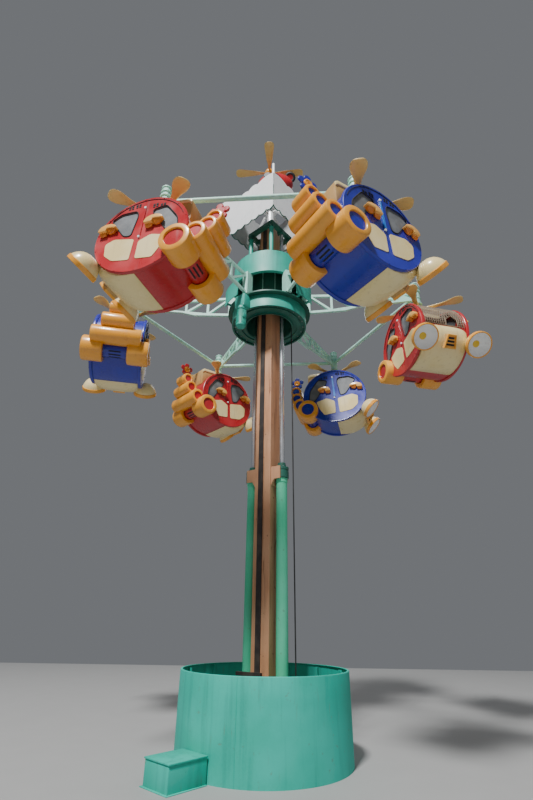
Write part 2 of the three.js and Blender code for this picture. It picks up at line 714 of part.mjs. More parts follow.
// Blade drawn from one half of its outline, between two heights.
function bladePlate(half, z0, z1) {
  return plate([...half, ...half.map(([x, y]) => [x, -y]).reverse()], z0, z1);
}

function rotorSolid() {
  const blade = bladePlate(BLADE_OUTLINE, BLADE_FROM, BLADE_TO);
  const blades = Array.from({ length: BLADES }, (_, i) =>
    solidOf(blade.clone().rotateZ(rad(BLADE_TURN + (360 / BLADES) * i))),
  );
  const top = HOUSING_FROM - CABIN_HEIGHT - GAP;
  const shaft = [
    solidOf(upright(95, 690, BLADE_TO + 12)),
    solidOf(upright(58, 700, top)),
    solidOf(upright(SHAFT_RADIUS, 700, BORE_TO - 10 - CABIN_HEIGHT)),
  ];
  const fairing = solidOf(sidePlate(FAIRING, -FAIRING_HALF_WIDTH, FAIRING_HALF_WIDTH));
  return joined(cut(fairing, cabinOutside(GAP)), ...shaft, ...blades);
}

function buildCabins() {
  const parts = [
    ["cabin", cabinSolid(), null],
    ["nose", noseSolid(), CREAM],
    ["tail", tailSolid(), ORANGE],
    ["rotor", rotorSolid(), TAN],
  ];
  for (let i = 0; i < ARMS; i += 1) {
    const azimuth = rad(HEAD_TURN + (360 / ARMS) * i);
    const x = TIP_RADIUS * Math.cos(azimuth);
    const y = TIP_RADIUS * Math.sin(azimuth);
    for (const [name, solid, material] of parts) {
      const full = "gondola_" + (i + 1) + "_" + name;
      addMesh(full, solid, material ?? CABIN_PAINTS[i], CABIN_HEADINGS[i], x, y, CABIN_HEIGHT);
    }
  }
}

// Outline of a board in its own plane, measured from the corner it shares with its twin.
function boardOutline(length, end) {
  const hem = [];
  for (let s = 0; s <= length; s += HEM_STEP) hem.push([s, hemHeight(s)]);
  return [...hem, ...end, ...BOARD_TOP.toReversed()];
}

// Height of a board's lower edge, which hangs in scallops.
function hemHeight(s) {
  return HEM_TOP - HEM_DEPTH * Math.abs(Math.sin((Math.PI * s) / HEM_PITCH));
}

// Two boards that meet on a corner post.
function boardPair(outline) {
  const inner = BOARD_LINE - BOARD_WALL;
  const left = outline.map(([s, z]) => [BOARD_LINE - s, z]);
  const right = outline.map(([s, z]) => [s - BOARD_LINE, z]);
  return joined(
    solidOf(sidePlate(left, -BOARD_LINE, -inner)),
    solidOf(sidePlate(right, -BOARD_LINE, -inner).rotateZ(Math.PI / 2)),
    solidOf(
      upright(CORNER_POST_RADIUS, CORNER_POST_FROM, CORNER_POST_TOP, inner - 8, -inner + 8, 10),
    ),
  );
}

function buildCrown() {
  const butt = 2 * BOARD_LINE - BOARD_WALL - GAP;
  const buttEnd = [[butt, hemHeight(butt)], [butt, 9840], [1060, 9885]];
  addMesh("roof_front", boardPair(boardOutline(FREE_END_FROM, FREE_END)), WHITE, CROWN_TURN);
  addMesh("roof_back", boardPair(boardOutline(butt - 1, buttEnd)), WHITE, CROWN_TURN + 180);

  const { radius, from, to } = CROWN_DISC;
  const post = turned(
    [
      [0, MAST_TOP + GAP], [CROWN_POST_RADIUS, MAST_TOP + GAP], [CROWN_POST_RADIUS, from],
      [radius, from], [radius, to], [STAND_RADIUS, to], [STAND_RADIUS, STAND_TOP], [0, STAND_TOP],
    ],
    16,
  );
  const bracket = [];
  for (let i = 1; i < BRACKET_PATH.length; i += 1) {
    const [[r0, z0], [r1, z1]] = [BRACKET_PATH[i - 1], BRACKET_PATH[i]];
    bracket.push(solidOf(barBetween([r0, 0, z0], [r1, 0, z1], BRACKET_BAR)));
  }
  const pad = block(
    BRACKET_PAD.from, BOARD_LINE - BOARD_WALL - GAP, -BRACKET_PAD.halfWidth, BRACKET_PAD.halfWidth,
    BRACKET_PAD.low, BRACKET_PAD.high,
  );
  const arm = joined(solidOf(pad), ...bracket);
  const arms = [0, 90, 180, 270].map((azimuth) => arm.rotate([0, 0, azimuth]));
  addMesh("roof_post", joined(solidOf(post), ...arms), WHITE, CROWN_TURN);
}

function buildOrnament() {
  const [hubX, hubY, hubZ] = ORNAMENT_HUB;
  const ball = (grow) => solidOf(
    new THREE.SphereGeometry(ORNAMENT_BALL + grow, 12, 8).translate(hubX, hubY, hubZ),
  );
  const body = new THREE.SphereGeometry(1, 16, 10)
    .scale(...ORNAMENT_BODY.radii)
    .translate(...ORNAMENT_BODY.centre);
  const neck = turned(ORNAMENT_NECK, 12).translate(hubX, hubY, 0);
  const wheel = new THREE.CylinderGeometry(
    ORNAMENT_WHEEL_RADIUS, ORNAMENT_WHEEL_RADIUS, ORNAMENT_WHEEL_WIDTH, 14,
  );
  wheel.rotateX(rad(ORNAMENT_WHEEL_TILT)).translate(...ORNAMENT_WHEEL);
  const tail = barBetween(ORNAMENT_TAIL, ORNAMENT_WHEEL, ORNAMENT_WHEEL_WIDTH, 8);
  const foot = upright(ORNAMENT_FOOT.radius, STAND_TOP + GAP, STAND_TOP + ORNAMENT_FOOT.height);
  const whole = joined(solidOf(body), solidOf(neck), solidOf(wheel), solidOf(tail), solidOf(foot));
  addMesh("roof_helicopter", cut(whole, ball(2 * GAP)), RED);

  const blade = bladePlate(ORNAMENT_BLADE, hubZ - 12, hubZ + 12);
  const blades = Array.from({ length: BLADES }, (_, i) =>
    solidOf(blade.clone().rotateZ(rad(90 * i)).translate(hubX, hubY, 0)),
  );
  addMesh("roof_rotor", joined(ball(0), ...blades), ORANGE);
}

buildGround();
buildMast();
buildCylinder("left", -1);
buildCylinder("right", 1);
buildCarriage();
buildTurntable();
buildArms();
buildCabins();
buildCrown();
buildOrnament();

export default group;
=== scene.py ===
"""Looks of a helicopter tower ride: pit wall, mast, lifting hub, truss arms, six cabins and a cloud crown."""
import logging
import math
from dataclasses import dataclass
from enum import Enum
from typing import Iterable, Sequence

import bmesh
import bpy
from mathutils import Matrix, Vector


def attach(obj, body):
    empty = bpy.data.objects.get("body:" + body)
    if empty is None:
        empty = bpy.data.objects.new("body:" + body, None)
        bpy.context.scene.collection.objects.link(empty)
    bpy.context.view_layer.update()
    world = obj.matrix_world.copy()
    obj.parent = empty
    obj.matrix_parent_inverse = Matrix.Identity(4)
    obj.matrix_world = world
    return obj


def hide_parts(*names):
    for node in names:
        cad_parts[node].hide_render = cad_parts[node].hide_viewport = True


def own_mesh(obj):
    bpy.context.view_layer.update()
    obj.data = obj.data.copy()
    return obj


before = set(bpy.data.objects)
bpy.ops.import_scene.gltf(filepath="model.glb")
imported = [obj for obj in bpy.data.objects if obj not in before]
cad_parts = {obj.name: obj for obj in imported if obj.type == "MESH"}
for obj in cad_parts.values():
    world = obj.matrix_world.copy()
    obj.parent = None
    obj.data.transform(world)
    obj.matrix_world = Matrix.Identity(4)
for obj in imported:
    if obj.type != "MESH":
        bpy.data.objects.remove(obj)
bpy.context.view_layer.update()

LOG = logging.getLogger("ride")
Flat = tuple[float, float]
Point = tuple[float, float, float]
Outline = tuple[Flat, ...]
Colour = tuple[float, float, float]

# Shared places and turns, from the part's own named values: metres and radians, the headings in degrees.
MAST_TURN = math.radians(-30.5)
HEAD_TURN = math.radians(-3.0)
TIP_RADIUS = 2.806
CABIN_HEIGHT = 6.14
CABIN_HEADINGS = (-76, -13, 44, 103.5, 163.5, 33.5)
CROWN_TURN = math.radians(-40)
CYLINDER_OFFSET = 0.27
GLAND_TOP = 3.87

# How meshes are joined, rounded and shaded.
SMOOTH_ANGLE = math.radians(32)
BEVEL_ANGLE = math.radians(38)
MERGE_DISTANCE = 1e-5
WELD_DISTANCE = 1e-4


def moved(x: float, y: float, z: float) -> Matrix:
    """Move along the three axes."""
    return Matrix.Translation((x, y, z))


def turned(angle: float, axis: str = "Z") -> Matrix:
    """Turn about an axis, in radians."""
    return Matrix.Rotation(angle, 4, axis)


def mirrored(side: int) -> Matrix:
    """Mirror along Y for side -1, nothing for side 1."""
    return Matrix.Scale(side, 4, (0, 1, 0))


def around(radius: float, angle: float) -> Flat:
    """Point of a circle about the origin."""
    return radius * math.cos(angle), radius * math.sin(angle)


def band(inner: float, outer: float, low: float, high: float) -> list[Flat]:
    """Rectangular profile for a lathe."""
    return [(inner, low), (outer, low), (outer, high), (inner, high)]


def new_object(name: str, data: bpy.types.ID) -> bpy.types.Object:
    """Adds an object to the scene.

    Args:
        name: its name.
        data: its mesh, camera or light.

    Returns:
        The object.
    """
    made = bpy.data.objects.new(name, data)
    bpy.context.scene.collection.objects.link(made)
    return made


def arm_tip(index: int, height: float) -> Point:
    """Point on the hanger line of one arm, counted from 0."""
    return (*around(TIP_RADIUS, HEAD_TURN + math.radians(60 * index)), height)


class Slot(Enum):
    """Material slots of the record."""

    TEAL = "teal_paint"
    MINT = "mint_paint"
    DARK_GREEN = "dark_green_paint"
    TAN = "tan_paint"
    ROD = "polished_rod"
    CABLE = "cable_black"
    STRIP = "strip_black"
    ROOF = "roof_white"
    RED = "cabin_red"
    BLUE = "cabin_blue"
    CREAM = "nose_cream"
    ORANGE = "log_orange"
    BLADE = "blade_tan"


class Value:
    """A shader value that takes Python's arithmetic."""

    def __init__(self, shader: "Shader", socket: bpy.types.NodeSocket) -> None:
        """Wraps a socket.

        Args:
            shader: the tree the socket is in.
            socket: an output socket.
        """
        self.shader = shader
        self.socket = socket

    def _math(self, operation: str, *values: "Value | float") -> "Value":
        """Adds a Math node.

        Args:
            operation: the node's operation.
            values: what goes into its sockets.

        Returns:
            The node's result.
        """
        inputs = dict(enumerate(values))
        return self.shader.node("ShaderNodeMath", {"operation": operation}, inputs)

    def __add__(self, other: "Value | float") -> "Value":
        """Sum."""
        return self._math("ADD", self, other)

    def __radd__(self, other: float) -> "Value":
        """Sum with a number on the left."""
        return self._math("ADD", other, self)

    def __sub__(self, other: "Value | float") -> "Value":
        """Difference."""
        return self._math("SUBTRACT", self, other)

    def __rsub__(self, other: float) -> "Value":
        """Difference from a number."""
        return self._math("SUBTRACT", other, self)

    def __mul__(self, other: "Value | float") -> "Value":
        """Product."""
        return self._math("MULTIPLY", self, other)

    def __rmul__(self, other: float) -> "Value":
        """Product with a number on the left."""
        return self._math("MULTIPLY", other, self)

    def most(self, other: "Value | float") -> "Value":
        """Larger of two values."""
        return self._math("MAXIMUM", self, other)

    def between(self, low: float, high: float) -> "Value":
        """Smooth step from 0 at low to 1 at high.

        Args:
            low: value that gives 0.
            high: value that gives 1.

        Returns:
            The stepped value.
        """
        settings = {"interpolation_type": "SMOOTHSTEP"}
        return self.shader.node("ShaderNodeMapRange", settings, {0: self, 1: low, 2: high})


class Shader:
    """One material's node tree."""

    def __init__(self, name: str) -> None:
        """Starts an empty tree.

        Args:
            name: the material's name.
        """
        self.material = bpy.data.materials.new(name)
        self.material.use_nodes = True
        self.tree = self.material.node_tree
        self.tree.nodes.clear()
        coordinates = self.tree.nodes.new("ShaderNodeTexCoord")
        self.place = Value(self, coordinates.outputs["Object"])

    def feed(self, socket: bpy.types.NodeSocket, value: object) -> None:
        """Links a value to a socket, or sets its number.

        Args:
            socket: an input socket.
            value: a Value, a number, or a colour.
        """
        if isinstance(value, Value):
            self.tree.links.new(value.socket, socket)
        elif isinstance(value, tuple) and socket.type == "RGBA":
            socket.default_value = (*value, 1.0)
        else:
            socket.default_value = value

    def node(self, kind: str, settings: dict, inputs: dict, output: int = 0) -> Value:
        """Adds any node.

        Args:
            kind: the node's type.
            settings: attributes set first.
            inputs: socket name or number to value.
            output: which output is wanted.

        Returns:
            The output.
        """
        made = self.tree.nodes.new(kind)
        for key, value in settings.items():
            setattr(made, key, value)
        for key, value in inputs.items():
            self.feed(made.inputs[key], value)
        return Value(self, made.outputs[output])

    def noise(
        self, scale: float, detail: float = 3.0, stretch: Point = (1, 1, 1), shift: float = 0.0
    ) -> Value:
        """Noise on object coordinates.

        Args:
            scale: waves per metre.
            detail: octaves.
            stretch: factors on X, Y and Z.
            shift: moves the pattern.

        Returns:
            A value near 0 to 1.
        """
        inputs = {"Vector": self.place, "Location": (shift, shift, shift), "Scale": stretch}
        place = self.node("ShaderNodeMapping", {}, inputs)
        return self.node("ShaderNodeTexNoise", {}, {"Vector": place, "Scale": scale, "Detail": detail})

    def mix(self, factor: "Value | float", first: object, second: object) -> Value:
        """Mixes two colours.

        Args:
            factor: share of the second.
            first: a colour or a Value.
            second: a colour or a Value.

        Returns:
            The mixed colour.
        """
        inputs = {0: factor, 6: first, 7: second}
        return self.node("ShaderNodeMix", {"data_type": "RGBA"}, inputs, 2)

    def bump(self, relief: Value, distance: float, strength: float = 1.0) -> Value:
        """Turns a relief into a normal.

        Args:
            relief: height value.
            distance: metres per unit.
            strength: share of the effect.

        Returns:
            The normal.
        """
        return self.node("ShaderNodeBump", {}, {"Height": relief, "Distance": distance, "Strength": strength})

    def finish(self, inputs: dict) -> bpy.types.Material:
        """Adds the shader and the output.

        Args:
            inputs: sockets of the shader.

        Returns:
            The material.
        """
        surface = self.node("ShaderNodeBsdfPrincipled", {}, inputs)
        made = self.tree.nodes.new("ShaderNodeOutputMaterial")
        self.feed(made.inputs["Surface"], surface)
        return self.material


@dataclass(frozen=True)
class OutdoorPaint:
    """Brushed enamel on steel that has stood outside: faded patches, run marks, chips and rust."""

    name: str
    colour: Colour
    faded: Colour
    stain: Colour
    rust: float = 0.2
    streaks: float = 0.35
    roughness: float = 0.42

    def material(self) -> bpy.types.Material:
        """Builds the material.

        Returns:
            The material.
        """
        shader = Shader(self.name)
        patch = shader.noise(1.4, 4).between(0.38, 0.66)
        fine = shader.noise(38, 5)
        runs = shader.noise(11, 4, (1, 1, 0.07), 3.0).between(0.5, 0.72)
        colour = shader.mix(patch * 0.8, self.colour, self.faded)
        colour = shader.mix(runs * self.streaks, colour, self.stain)
        colour = shader.mix(fine.between(0.3, 0.75) * 0.14, colour, self.faded)
        spots = shader.noise(17, 6, shift=7.0).between(0.66, 0.72) * self.rust
        trails = shader.noise(24, 5, (1, 1, 0.12), 9.0).between(0.64, 0.74) * self.rust
        rusted = spots.most(trails)
        colour = shader.mix(rusted, colour, (0.22, 0.085, 0.035))
        relief = fine * 0.4 + rusted * -0.8
        return shader.finish(
            {
                "Base Color": colour,
                "Roughness": self.roughness + patch * 0.12 + rusted * 0.35,
                "Normal": shader.bump(relief, 0.0015, 0.5),
                "Metallic": 0.0,
            }
        )


@dataclass(frozen=True)
class Moulding:
    """Gel-coated glass fibre: gloss, a little chalking, dust from the sky and scuffs."""

    name: str
    colour: Colour
    chalked: Colour
    grime: Colour = (0.16, 0.12, 0.08)
    dirt: float = 0.25
    roughness: float = 0.26

    def material(self) -> bpy.types.Material:
        """Builds the material.

        Returns:
            The material.
        """
        shader = Shader(self.name)
        patch = shader.noise(2.6, 4).between(0.4, 0.68)
        runs = shader.noise(16, 4, (1, 1, 0.1), 5.0).between(0.55, 0.75)
        fine = shader.noise(60, 4)
        colour = shader.mix(patch * 0.55, self.colour, self.chalked)
        colour = shader.mix(runs * self.dirt, colour, self.grime)
        specks = shader.noise(90, 3, shift=2.0).between(0.68, 0.74)
        colour = shader.mix(specks * 0.35, colour, self.grime)
        ripple = shader.noise(5.5, 2) + fine * 0.06
        return shader.finish(
            {
                "Base Color": colour,
                "Roughness": self.roughness + patch * 0.14 + runs * 0.15,
                "Coat Weight": 0.35 - patch * 0.2,
                "Coat Roughness": 0.12,
                "Normal": shader.bump(ripple, 0.003, 0.35),
            }
        )


@dataclass(frozen=True)
class BareMetal:
    """Metal that shows: turned, polished or galvanised."""

    name: str
    colour: Colour
    stain: Colour
    roughness: float = 0.25
    metallic: float = 1.0
    streaks: float = 0.3

    def material(self) -> bpy.types.Material:
        """Builds the material.

        Returns:
            The material.
        """
        shader = Shader(self.name)
        runs = shader.noise(30, 4, (1, 1, 0.03)).between(0.45, 0.75)
        patch = shader.noise(3.0, 3).between(0.4, 0.7)
        brushed = shader.noise(220, 2, (1, 1, 0.02))
        colour = shader.mix(runs * self.streaks, self.colour, self.stain)
        return shader.finish(
            {
                "Base Color": colour,
                "Metallic": self.metallic - runs * 0.25 * self.metallic,
                "Roughness": self.roughness + runs * 0.2 + patch * 0.08,
                "Normal": shader.bump(brushed, 0.0004, 0.3),
            }
        )


@dataclass(frozen=True)
class DullSkin:
    """Matt rubber, cable sheath, shaded openings and window mesh."""

    name: str
    colour: Colour
    dusty: Colour
    roughness: float = 0.75

    def material(self) -> bpy.types.Material:
        """Builds the material.

        Returns:
            The material.
        """
        shader = Shader(self.name)
        patch = shader.noise(6, 4).between(0.4, 0.7)
        fine = shader.noise(120, 3)
        colour = shader.mix(patch * 0.6, self.colour, self.dusty)
        return shader.finish(
            {
                "Base Color": colour,
                "Roughness": self.roughness + fine * 0.1 - 0.05,
                "Normal": shader.bump(fine, 0.0006, 0.4),
            }
        )


class Finish(Enum):
    """Every finish of the ride."""

    TEAL = OutdoorPaint(
        "teal enamel", (0.022, 0.37, 0.275), (0.06, 0.46, 0.37), (0.02, 0.15, 0.115), 0.3, 0.35
    )
    CYLINDER = OutdoorPaint(
        "mint green enamel", (0.06, 0.62, 0.34), (0.13, 0.7, 0.45), (0.03, 0.24, 0.15), 0.3, 0.3
    )
    DRUM = OutdoorPaint(
        "pit wall enamel", (0.008, 0.43, 0.32), (0.03, 0.53, 0.42), (0.015, 0.2, 0.15), 0.3, 0.35, 0.62
    )
    MINT = OutdoorPaint(
        "pale mint enamel", (0.37, 0.73, 0.61), (0.53, 0.81, 0.71), (0.14, 0.33, 0.27), 0.35, 0.28
    )
    DARK_GREEN = OutdoorPaint(
        "dark green enamel", (0.012, 0.1, 0.07), (0.03, 0.18, 0.13), (0.01, 0.03, 0.025), 0.3, 0.4
    )
    TAN = OutdoorPaint(
        "tan enamel", (0.58, 0.28, 0.14), (0.66, 0.37, 0.21), (0.17, 0.07, 0.035), 0.75, 0.45, 0.5
    )
    ROD = BareMetal("hard chrome", (0.82, 0.84, 0.87), (0.35, 0.36, 0.38), 0.14)
    STEEL = BareMetal("galvanised steel", (0.5, 0.52, 0.54), (0.22, 0.21, 0.2), 0.45)
    CABLE = DullSkin("cable sheath", (0.012, 0.012, 0.013), (0.05, 0.05, 0.05), 0.6)
    STRIP = DullSkin("guide strip", (0.025, 0.02, 0.018), (0.09, 0.07, 0.055), 0.6)
    SHADE = DullSkin("shaded opening", (0.01, 0.01, 0.012), (0.02, 0.02, 0.02), 0.8)
    ROOF = Moulding("white moulding", (0.88, 0.89, 0.9), (0.92, 0.92, 0.92), (0.4, 0.42, 0.43), 0.18)
    LINING = DullSkin("grey crown lining", (0.4, 0.42, 0.42), (0.52, 0.53, 0.52), 0.7)
    RED = Moulding("red moulding", (0.46, 0.014, 0.02), (0.56, 0.04, 0.045), (0.12, 0.015, 0.015))
    BLUE = Moulding("blue moulding", (0.014, 0.02, 0.34), (0.03, 0.045, 0.44), (0.012, 0.016, 0.09))
    SKY = Moulding("light blue moulding", (0.02, 0.2, 0.72), (0.06, 0.28, 0.78), (0.02, 0.06, 0.2))
    CREAM = Moulding("cream moulding", (0.87, 0.7, 0.33), (0.9, 0.77, 0.45), (0.35, 0.24, 0.1), 0.28)
    ORANGE = Moulding(
        "orange moulding", (0.88, 0.37, 0.035), (0.9, 0.45, 0.08), (0.4, 0.14, 0.02), 0.25
    )
    HANDLE = Moulding(
        "handle moulding", (0.86, 0.43, 0.09), (0.88, 0.52, 0.17), (0.38, 0.18, 0.05), 0.25
    )
    # Deep orange: on the handles' brackets it is painted shade under the shelf; also the flower's middle.
    DEEP_ORANGE = Moulding(
        "deep orange moulding", (0.7, 0.19, 0.012), (0.75, 0.27, 0.04), (0.3, 0.08, 0.02)
    )
    BLADE = Moulding(
        "tan blade moulding", (0.77, 0.5, 0.15), (0.83, 0.6, 0.25), (0.36, 0.2, 0.06), 0.3, 0.4
    )
    # Darker tan of the fairing's sides, against the cream cap on its top: painted shade of the one tan-cream
    # fairing. Also the grille's back.
    BROWN = Moulding(
        "tan fairing moulding", (0.5, 0.3, 0.1), (0.6, 0.4, 0.17), (0.18, 0.1, 0.04), 0.4, 0.45
    )
    LAMP_WHITE = Moulding(
        "lamp bowl moulding", (0.9, 0.91, 0.91), (0.93, 0.93, 0.93), (0.45, 0.45, 0.43), 0.2
    )
    YELLOW = Moulding(
        "yellow lamp moulding", (0.85, 0.53, 0.012), (0.88, 0.6, 0.05), (0.4, 0.25, 0.04), 0.2
    )
    PANE = DullSkin("window mesh cloth", (0.13, 0.14, 0.15), (0.24, 0.25, 0.26), 0.55)
    SCREEN = DullSkin("woven wire screen", (0.22, 0.165, 0.11), (0.33, 0.26, 0.18), 0.6)

    def material(self) -> bpy.types.Material:
        """The finish's material, built once."""
        found = bpy.data.materials.get(self.value.name)
        return found or self.value.material()


def ellipse(a: float, b: float, steps: int) -> list[Flat]:
    """Points of an ellipse.

    Args:
        a: half-length.
        b: half-height.
        steps: number of points.

    Returns:
        Pairs of the two coordinates.
    """
    turn = 2 * math.pi / steps
    return [(a * math.cos(turn * i), b * math.sin(turn * i)) for i in range(steps)]


class Form:
    """Builds one mesh from simple closed shapes, each in a finish."""

    def __init__(self) -> None:
        """Starts an empty mesh."""
        self.mesh = bmesh.new()
        self.finishes: list[Finish] = []
        self.current = 0

    def use(self, finish: Finish) -> "Form":
        """Sets the finish of what comes next.

        Args:
            finish: the finish.

        Returns:
            The form itself.
        """
        if finish not in self.finishes:
            self.finishes.append(finish)
        self.current = self.finishes.index(finish)
        return self

    def _faces(self, faces: Iterable[bmesh.types.BMFace]) -> None:
        """Gives faces the current finish."""
        for face in faces:
            face.material_index = self.current

    def rings(self, rows: Sequence[Sequence[Point]]) -> None:
        """Closed skin through rings of points.

        Args:
            rows: rings of equal length.
        """
        made = [[self.mesh.verts.new(point) for point in row] for row in rows]
        count = len(rows[0])
        faces = []
        for here, after in zip(made, made[1:]):
            for i in range(count):
                j = (i + 1) % count
                faces.append(self.mesh.faces.new((here[i], here[j], after[j], after[i])))
        faces.append(self.mesh.faces.new(made[0]))
        faces.append(self.mesh.faces.new(made[-1]))
        self._faces(faces)

    def lathe(
        self, profile: Sequence[Flat], place: Matrix | None = None, steps: int = 48, loop: bool = False
    ) -> None:
        """Profile turned about Z.

        Args:
            profile: pairs of radius and height; a radius of 0 is a pole.
            place: moves the result.
            steps: sides.
            loop: joins the profile's end to its start.
        """
        place = place or Matrix.Identity(4)
        turn = 2 * math.pi / steps
        rows = []
        for radius, height in profile:
            if radius < 1e-6:
                rows.append([self.mesh.verts.new(place @ Vector((0, 0, height)))])
                continue
            points = [place @ Vector((*around(radius, turn * i), height)) for i in range(steps)]
            rows.append([self.mesh.verts.new(point) for point in points])
        faces = []
        for r in range(len(rows) if loop else len(rows) - 1):
            here, after = rows[r], rows[(r + 1) % len(rows)]
            for i in range(steps):
                j = (i + 1) % steps
                if len(here) == 1 and len(after) > 1:
                    faces.append(self.mesh.faces.new((here[0], after[j], after[i])))
                elif len(after) == 1 and len(here) > 1:
                    faces.append(self.mesh.faces.new((here[i], here[j], after[0])))
                elif len(here) > 1:
                    faces.append(self.mesh.faces.new((here[i], here[j], after[j], after[i])))
        if not loop:
            for ring in (rows[0], rows[-1]):
                if len(ring) > 1:
                    faces.append(self.mesh.faces.new(ring))
        self._faces(faces)

    def prism(self, outline: Sequence[Flat], low: float, high: float, place: Matrix | None = None) -> None:
        """Outline in X and Y drawn up along Z.

        Args:
            outline: points in X and Y.
            low: lowest Z.
            high: highest Z.
            place: moves the result.
        """
        place = place or Matrix.Identity(4)
        rows = [[place @ Vector((x, y, z)) for x, y in outline] for z in (low, high)]
        self.rings(rows)

    def side_prism(
        self, outline: Sequence[Flat], low: float, high: float, place: Matrix | None = None
    ) -> None:
        """Outline in X and Z drawn along Y from low to high.

        Args:
            outline: points in X and Z.
            low: lowest Y.
            high: highest Y.
            place: moves the result.
        """
        place = place or Matrix.Identity(4)
        rows = [[place @ Vector((x, y, z)) for x, z in outline] for y in (low, high)]
        self.rings(rows)

    def block(self, low: Point, high: Point, place: Matrix | None = None) -> None:
        """Box between two corners.

        Args:
            low: lowest corner.
            high: highest corner.
            place: moves the result.
        """
        outline = [(low[0], low[1]), (high[0], low[1]), (high[0], high[1]), (low[0], high[1])]
        self.prism(outline, low[2], high[2], place)

    def tube(self, path: Sequence[Vector], radius: float, steps: int = 12) -> None:
        """Round bar along a path.

        Args:
            path: points of the middle line.
            radius: outside radius.
            steps: sides.
        """
        rows = []
        across = None
        for i, point in enumerate(path):
            ahead = Vector(path[min(i + 1, len(path) - 1)]) - Vector(path[max(i - 1, 0)])
            ahead.normalize()
            if across is None:
                guide = Vector((0, 0, 1)) if abs(ahead.z) < 0.9 else Vector((1, 0, 0))
                across = ahead.cross(guide).normalized()
            across = (across - ahead * across.dot(ahead)).normalized()
            up = ahead.cross(across)
            turn = 2 * math.pi / steps
            rows.append(
                [
                    Vector(point) + across * radius * math.cos(turn * k) + up * radius * math.sin(turn * k)
                    for k in range(steps)
                ]
            )
        self.rings(rows)

    def add(self, other: bpy.types.Mesh, finishes: Sequence[Finish], place: Matrix | None = None) -> None:
        """Adds a made mesh.

        Args:
            other: the mesh.
            finishes: its finishes in slot order.
            place: moves the copy.
        """
        start = len(self.mesh.faces)
        points = len(self.mesh.verts)
        self.mesh.from_mesh(other)
        self.mesh.verts.ensure_lookup_table()
        self.mesh.faces.ensure_lookup_table()
        if place is not None:
            bmesh.ops.transform(self.mesh, matrix=place, verts=self.mesh.verts[points:])
        for face in self.mesh.faces[start:]:
            self.use(finishes[face.material_index])
            face.material_index = self.current

    def object(
        self, name: str, bevel: float = 0.0, segments: int = 2, subdivide: int = 0, merge: bool = True
    ) -> bpy.types.Object:
        """Turns the shapes into a plain mesh object.

        Args:
            name: the object's name.
            bevel: width of the rounded edges.
            segments: steps of the rounding.
            subdivide: levels of subdivision.
            merge: joins points that lie together.

        Returns:
            The object, with its modifiers applied.
        """
        if merge:
            bmesh.ops.remove_doubles(self.mesh, verts=self.mesh.verts, dist=MERGE_DISTANCE)
        bmesh.ops.recalc_face_normals(self.mesh, faces=self.mesh.faces)
        data = bpy.data.meshes.new(name)
        self.mesh.to_mesh(data)
        self.mesh.free()
        for finish in self.finishes:
            data.materials.append(finish.material())
        made = new_object(name, data)
        if bevel:
            round_edges(made, bevel, segments)
        if subdivide:
            modifier = made.modifiers.new("smoothing", "SUBSURF")
            modifier.levels = subdivide
            modifier.render_levels = subdivide
        return settle(made)

    def piece(self, name: str, body: str, slot: Slot, *nodes: str, **options: float) -> bpy.types.Object:
        """Turns the shapes into a finished piece of the ride.

        Args:
            name: the piece's name.
            body: the body it rides on.
            slot: the record's slot.
            nodes: CAD nodes it stands for.
            options: what object() takes.

        Returns:
            The piece.
        """
        made = self.object(name, **options)
        give(made, body, slot, *nodes)
        return made

    def pattern(self, name: str, **options: float) -> tuple[bpy.types.Mesh, list[Finish]]:
        """Turns the shapes into a mesh that is copied into other forms.

        Args:
            name: the mesh's name.
            options: what object() takes.

        Returns:
            The mesh and its finishes.
        """
        finishes = list(self.finishes)
        made = self.object(name, **options)
        mesh = made.data
        bpy.data.objects.remove(made)
        return mesh, finishes


def round_edges(made: bpy.types.Object, width: float, segments: int) -> None:
    """Adds a bevel to an object's sharp edges.

    Args:
        made: the object.
        width: width of the rounding.
        segments: steps of the rounding.
    """
    modifier = made.modifiers.new("rounding", "BEVEL")
    modifier.width = width
    modifier.segments = segments
    modifier.limit_method = "ANGLE"
    modifier.angle_limit = BEVEL_ANGLE


def settle(made: bpy.types.Object) -> bpy.types.Object:
    """Applies an object's modifiers and shades it smooth between sharp edges.

    Args:
        made: the object.

    Returns:
        The same object with a plain mesh.
    """
    if made.modifiers:
        graph = bpy.context.evaluated_depsgraph_get()
        data = bpy.data.meshes.new_from_object(made.evaluated_get(graph))
        made.modifiers.clear()
        made.data = data
    made.data.shade_smooth()
    made.data.set_sharp_from_angle(angle=SMOOTH_ANGLE)
    return made


def carve(made: bpy.types.Object, cutter: bpy.types.Object, operation: str = "DIFFERENCE") -> None:
    """Cuts one object by another and drops the cutter.

    Args:
        made: what is cut.
        cutter: what cuts it.
        operation: the boolean's operation.
    """
    modifier = made.modifiers.new("carve", "BOOLEAN")
    modifier.object = cutter
    modifier.operation = operation
    modifier.solver = "EXACT"
    settle(made)
    bpy.data.objects.remove(cutter)


def give(made: bpy.types.Object, body: str, slot: Slot, *nodes: str) -> None:
    """Hands a finished piece to its body.

    Args:
        made: the piece.
        body: the body it rides on.
        slot: the record's slot; not used.
        nodes: CAD nodes it stands for.
    """
    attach(made, body)
    if nodes:
        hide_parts(*nodes)
    LOG.info("%s on %s, %d faces", made.name, body, len(made.data.polygons))


def dress(node: str, finish: Finish, bevel: float = 0.0) -> None:
    """Gives a CAD node its finish and rounded edges.

    Args:
        node: the CAD node's name.
        finish: its finish.
        bevel: width of the rounded edges.
    """
    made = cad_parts[node]
    made.data.materials.clear()
    made.data.materials.append(finish.material())
    if bevel:
        weld = made.modifiers.new("weld", "WELD")
        weld.merge_threshold = WELD_DISTANCE
        round_edges(made, bevel, 2)


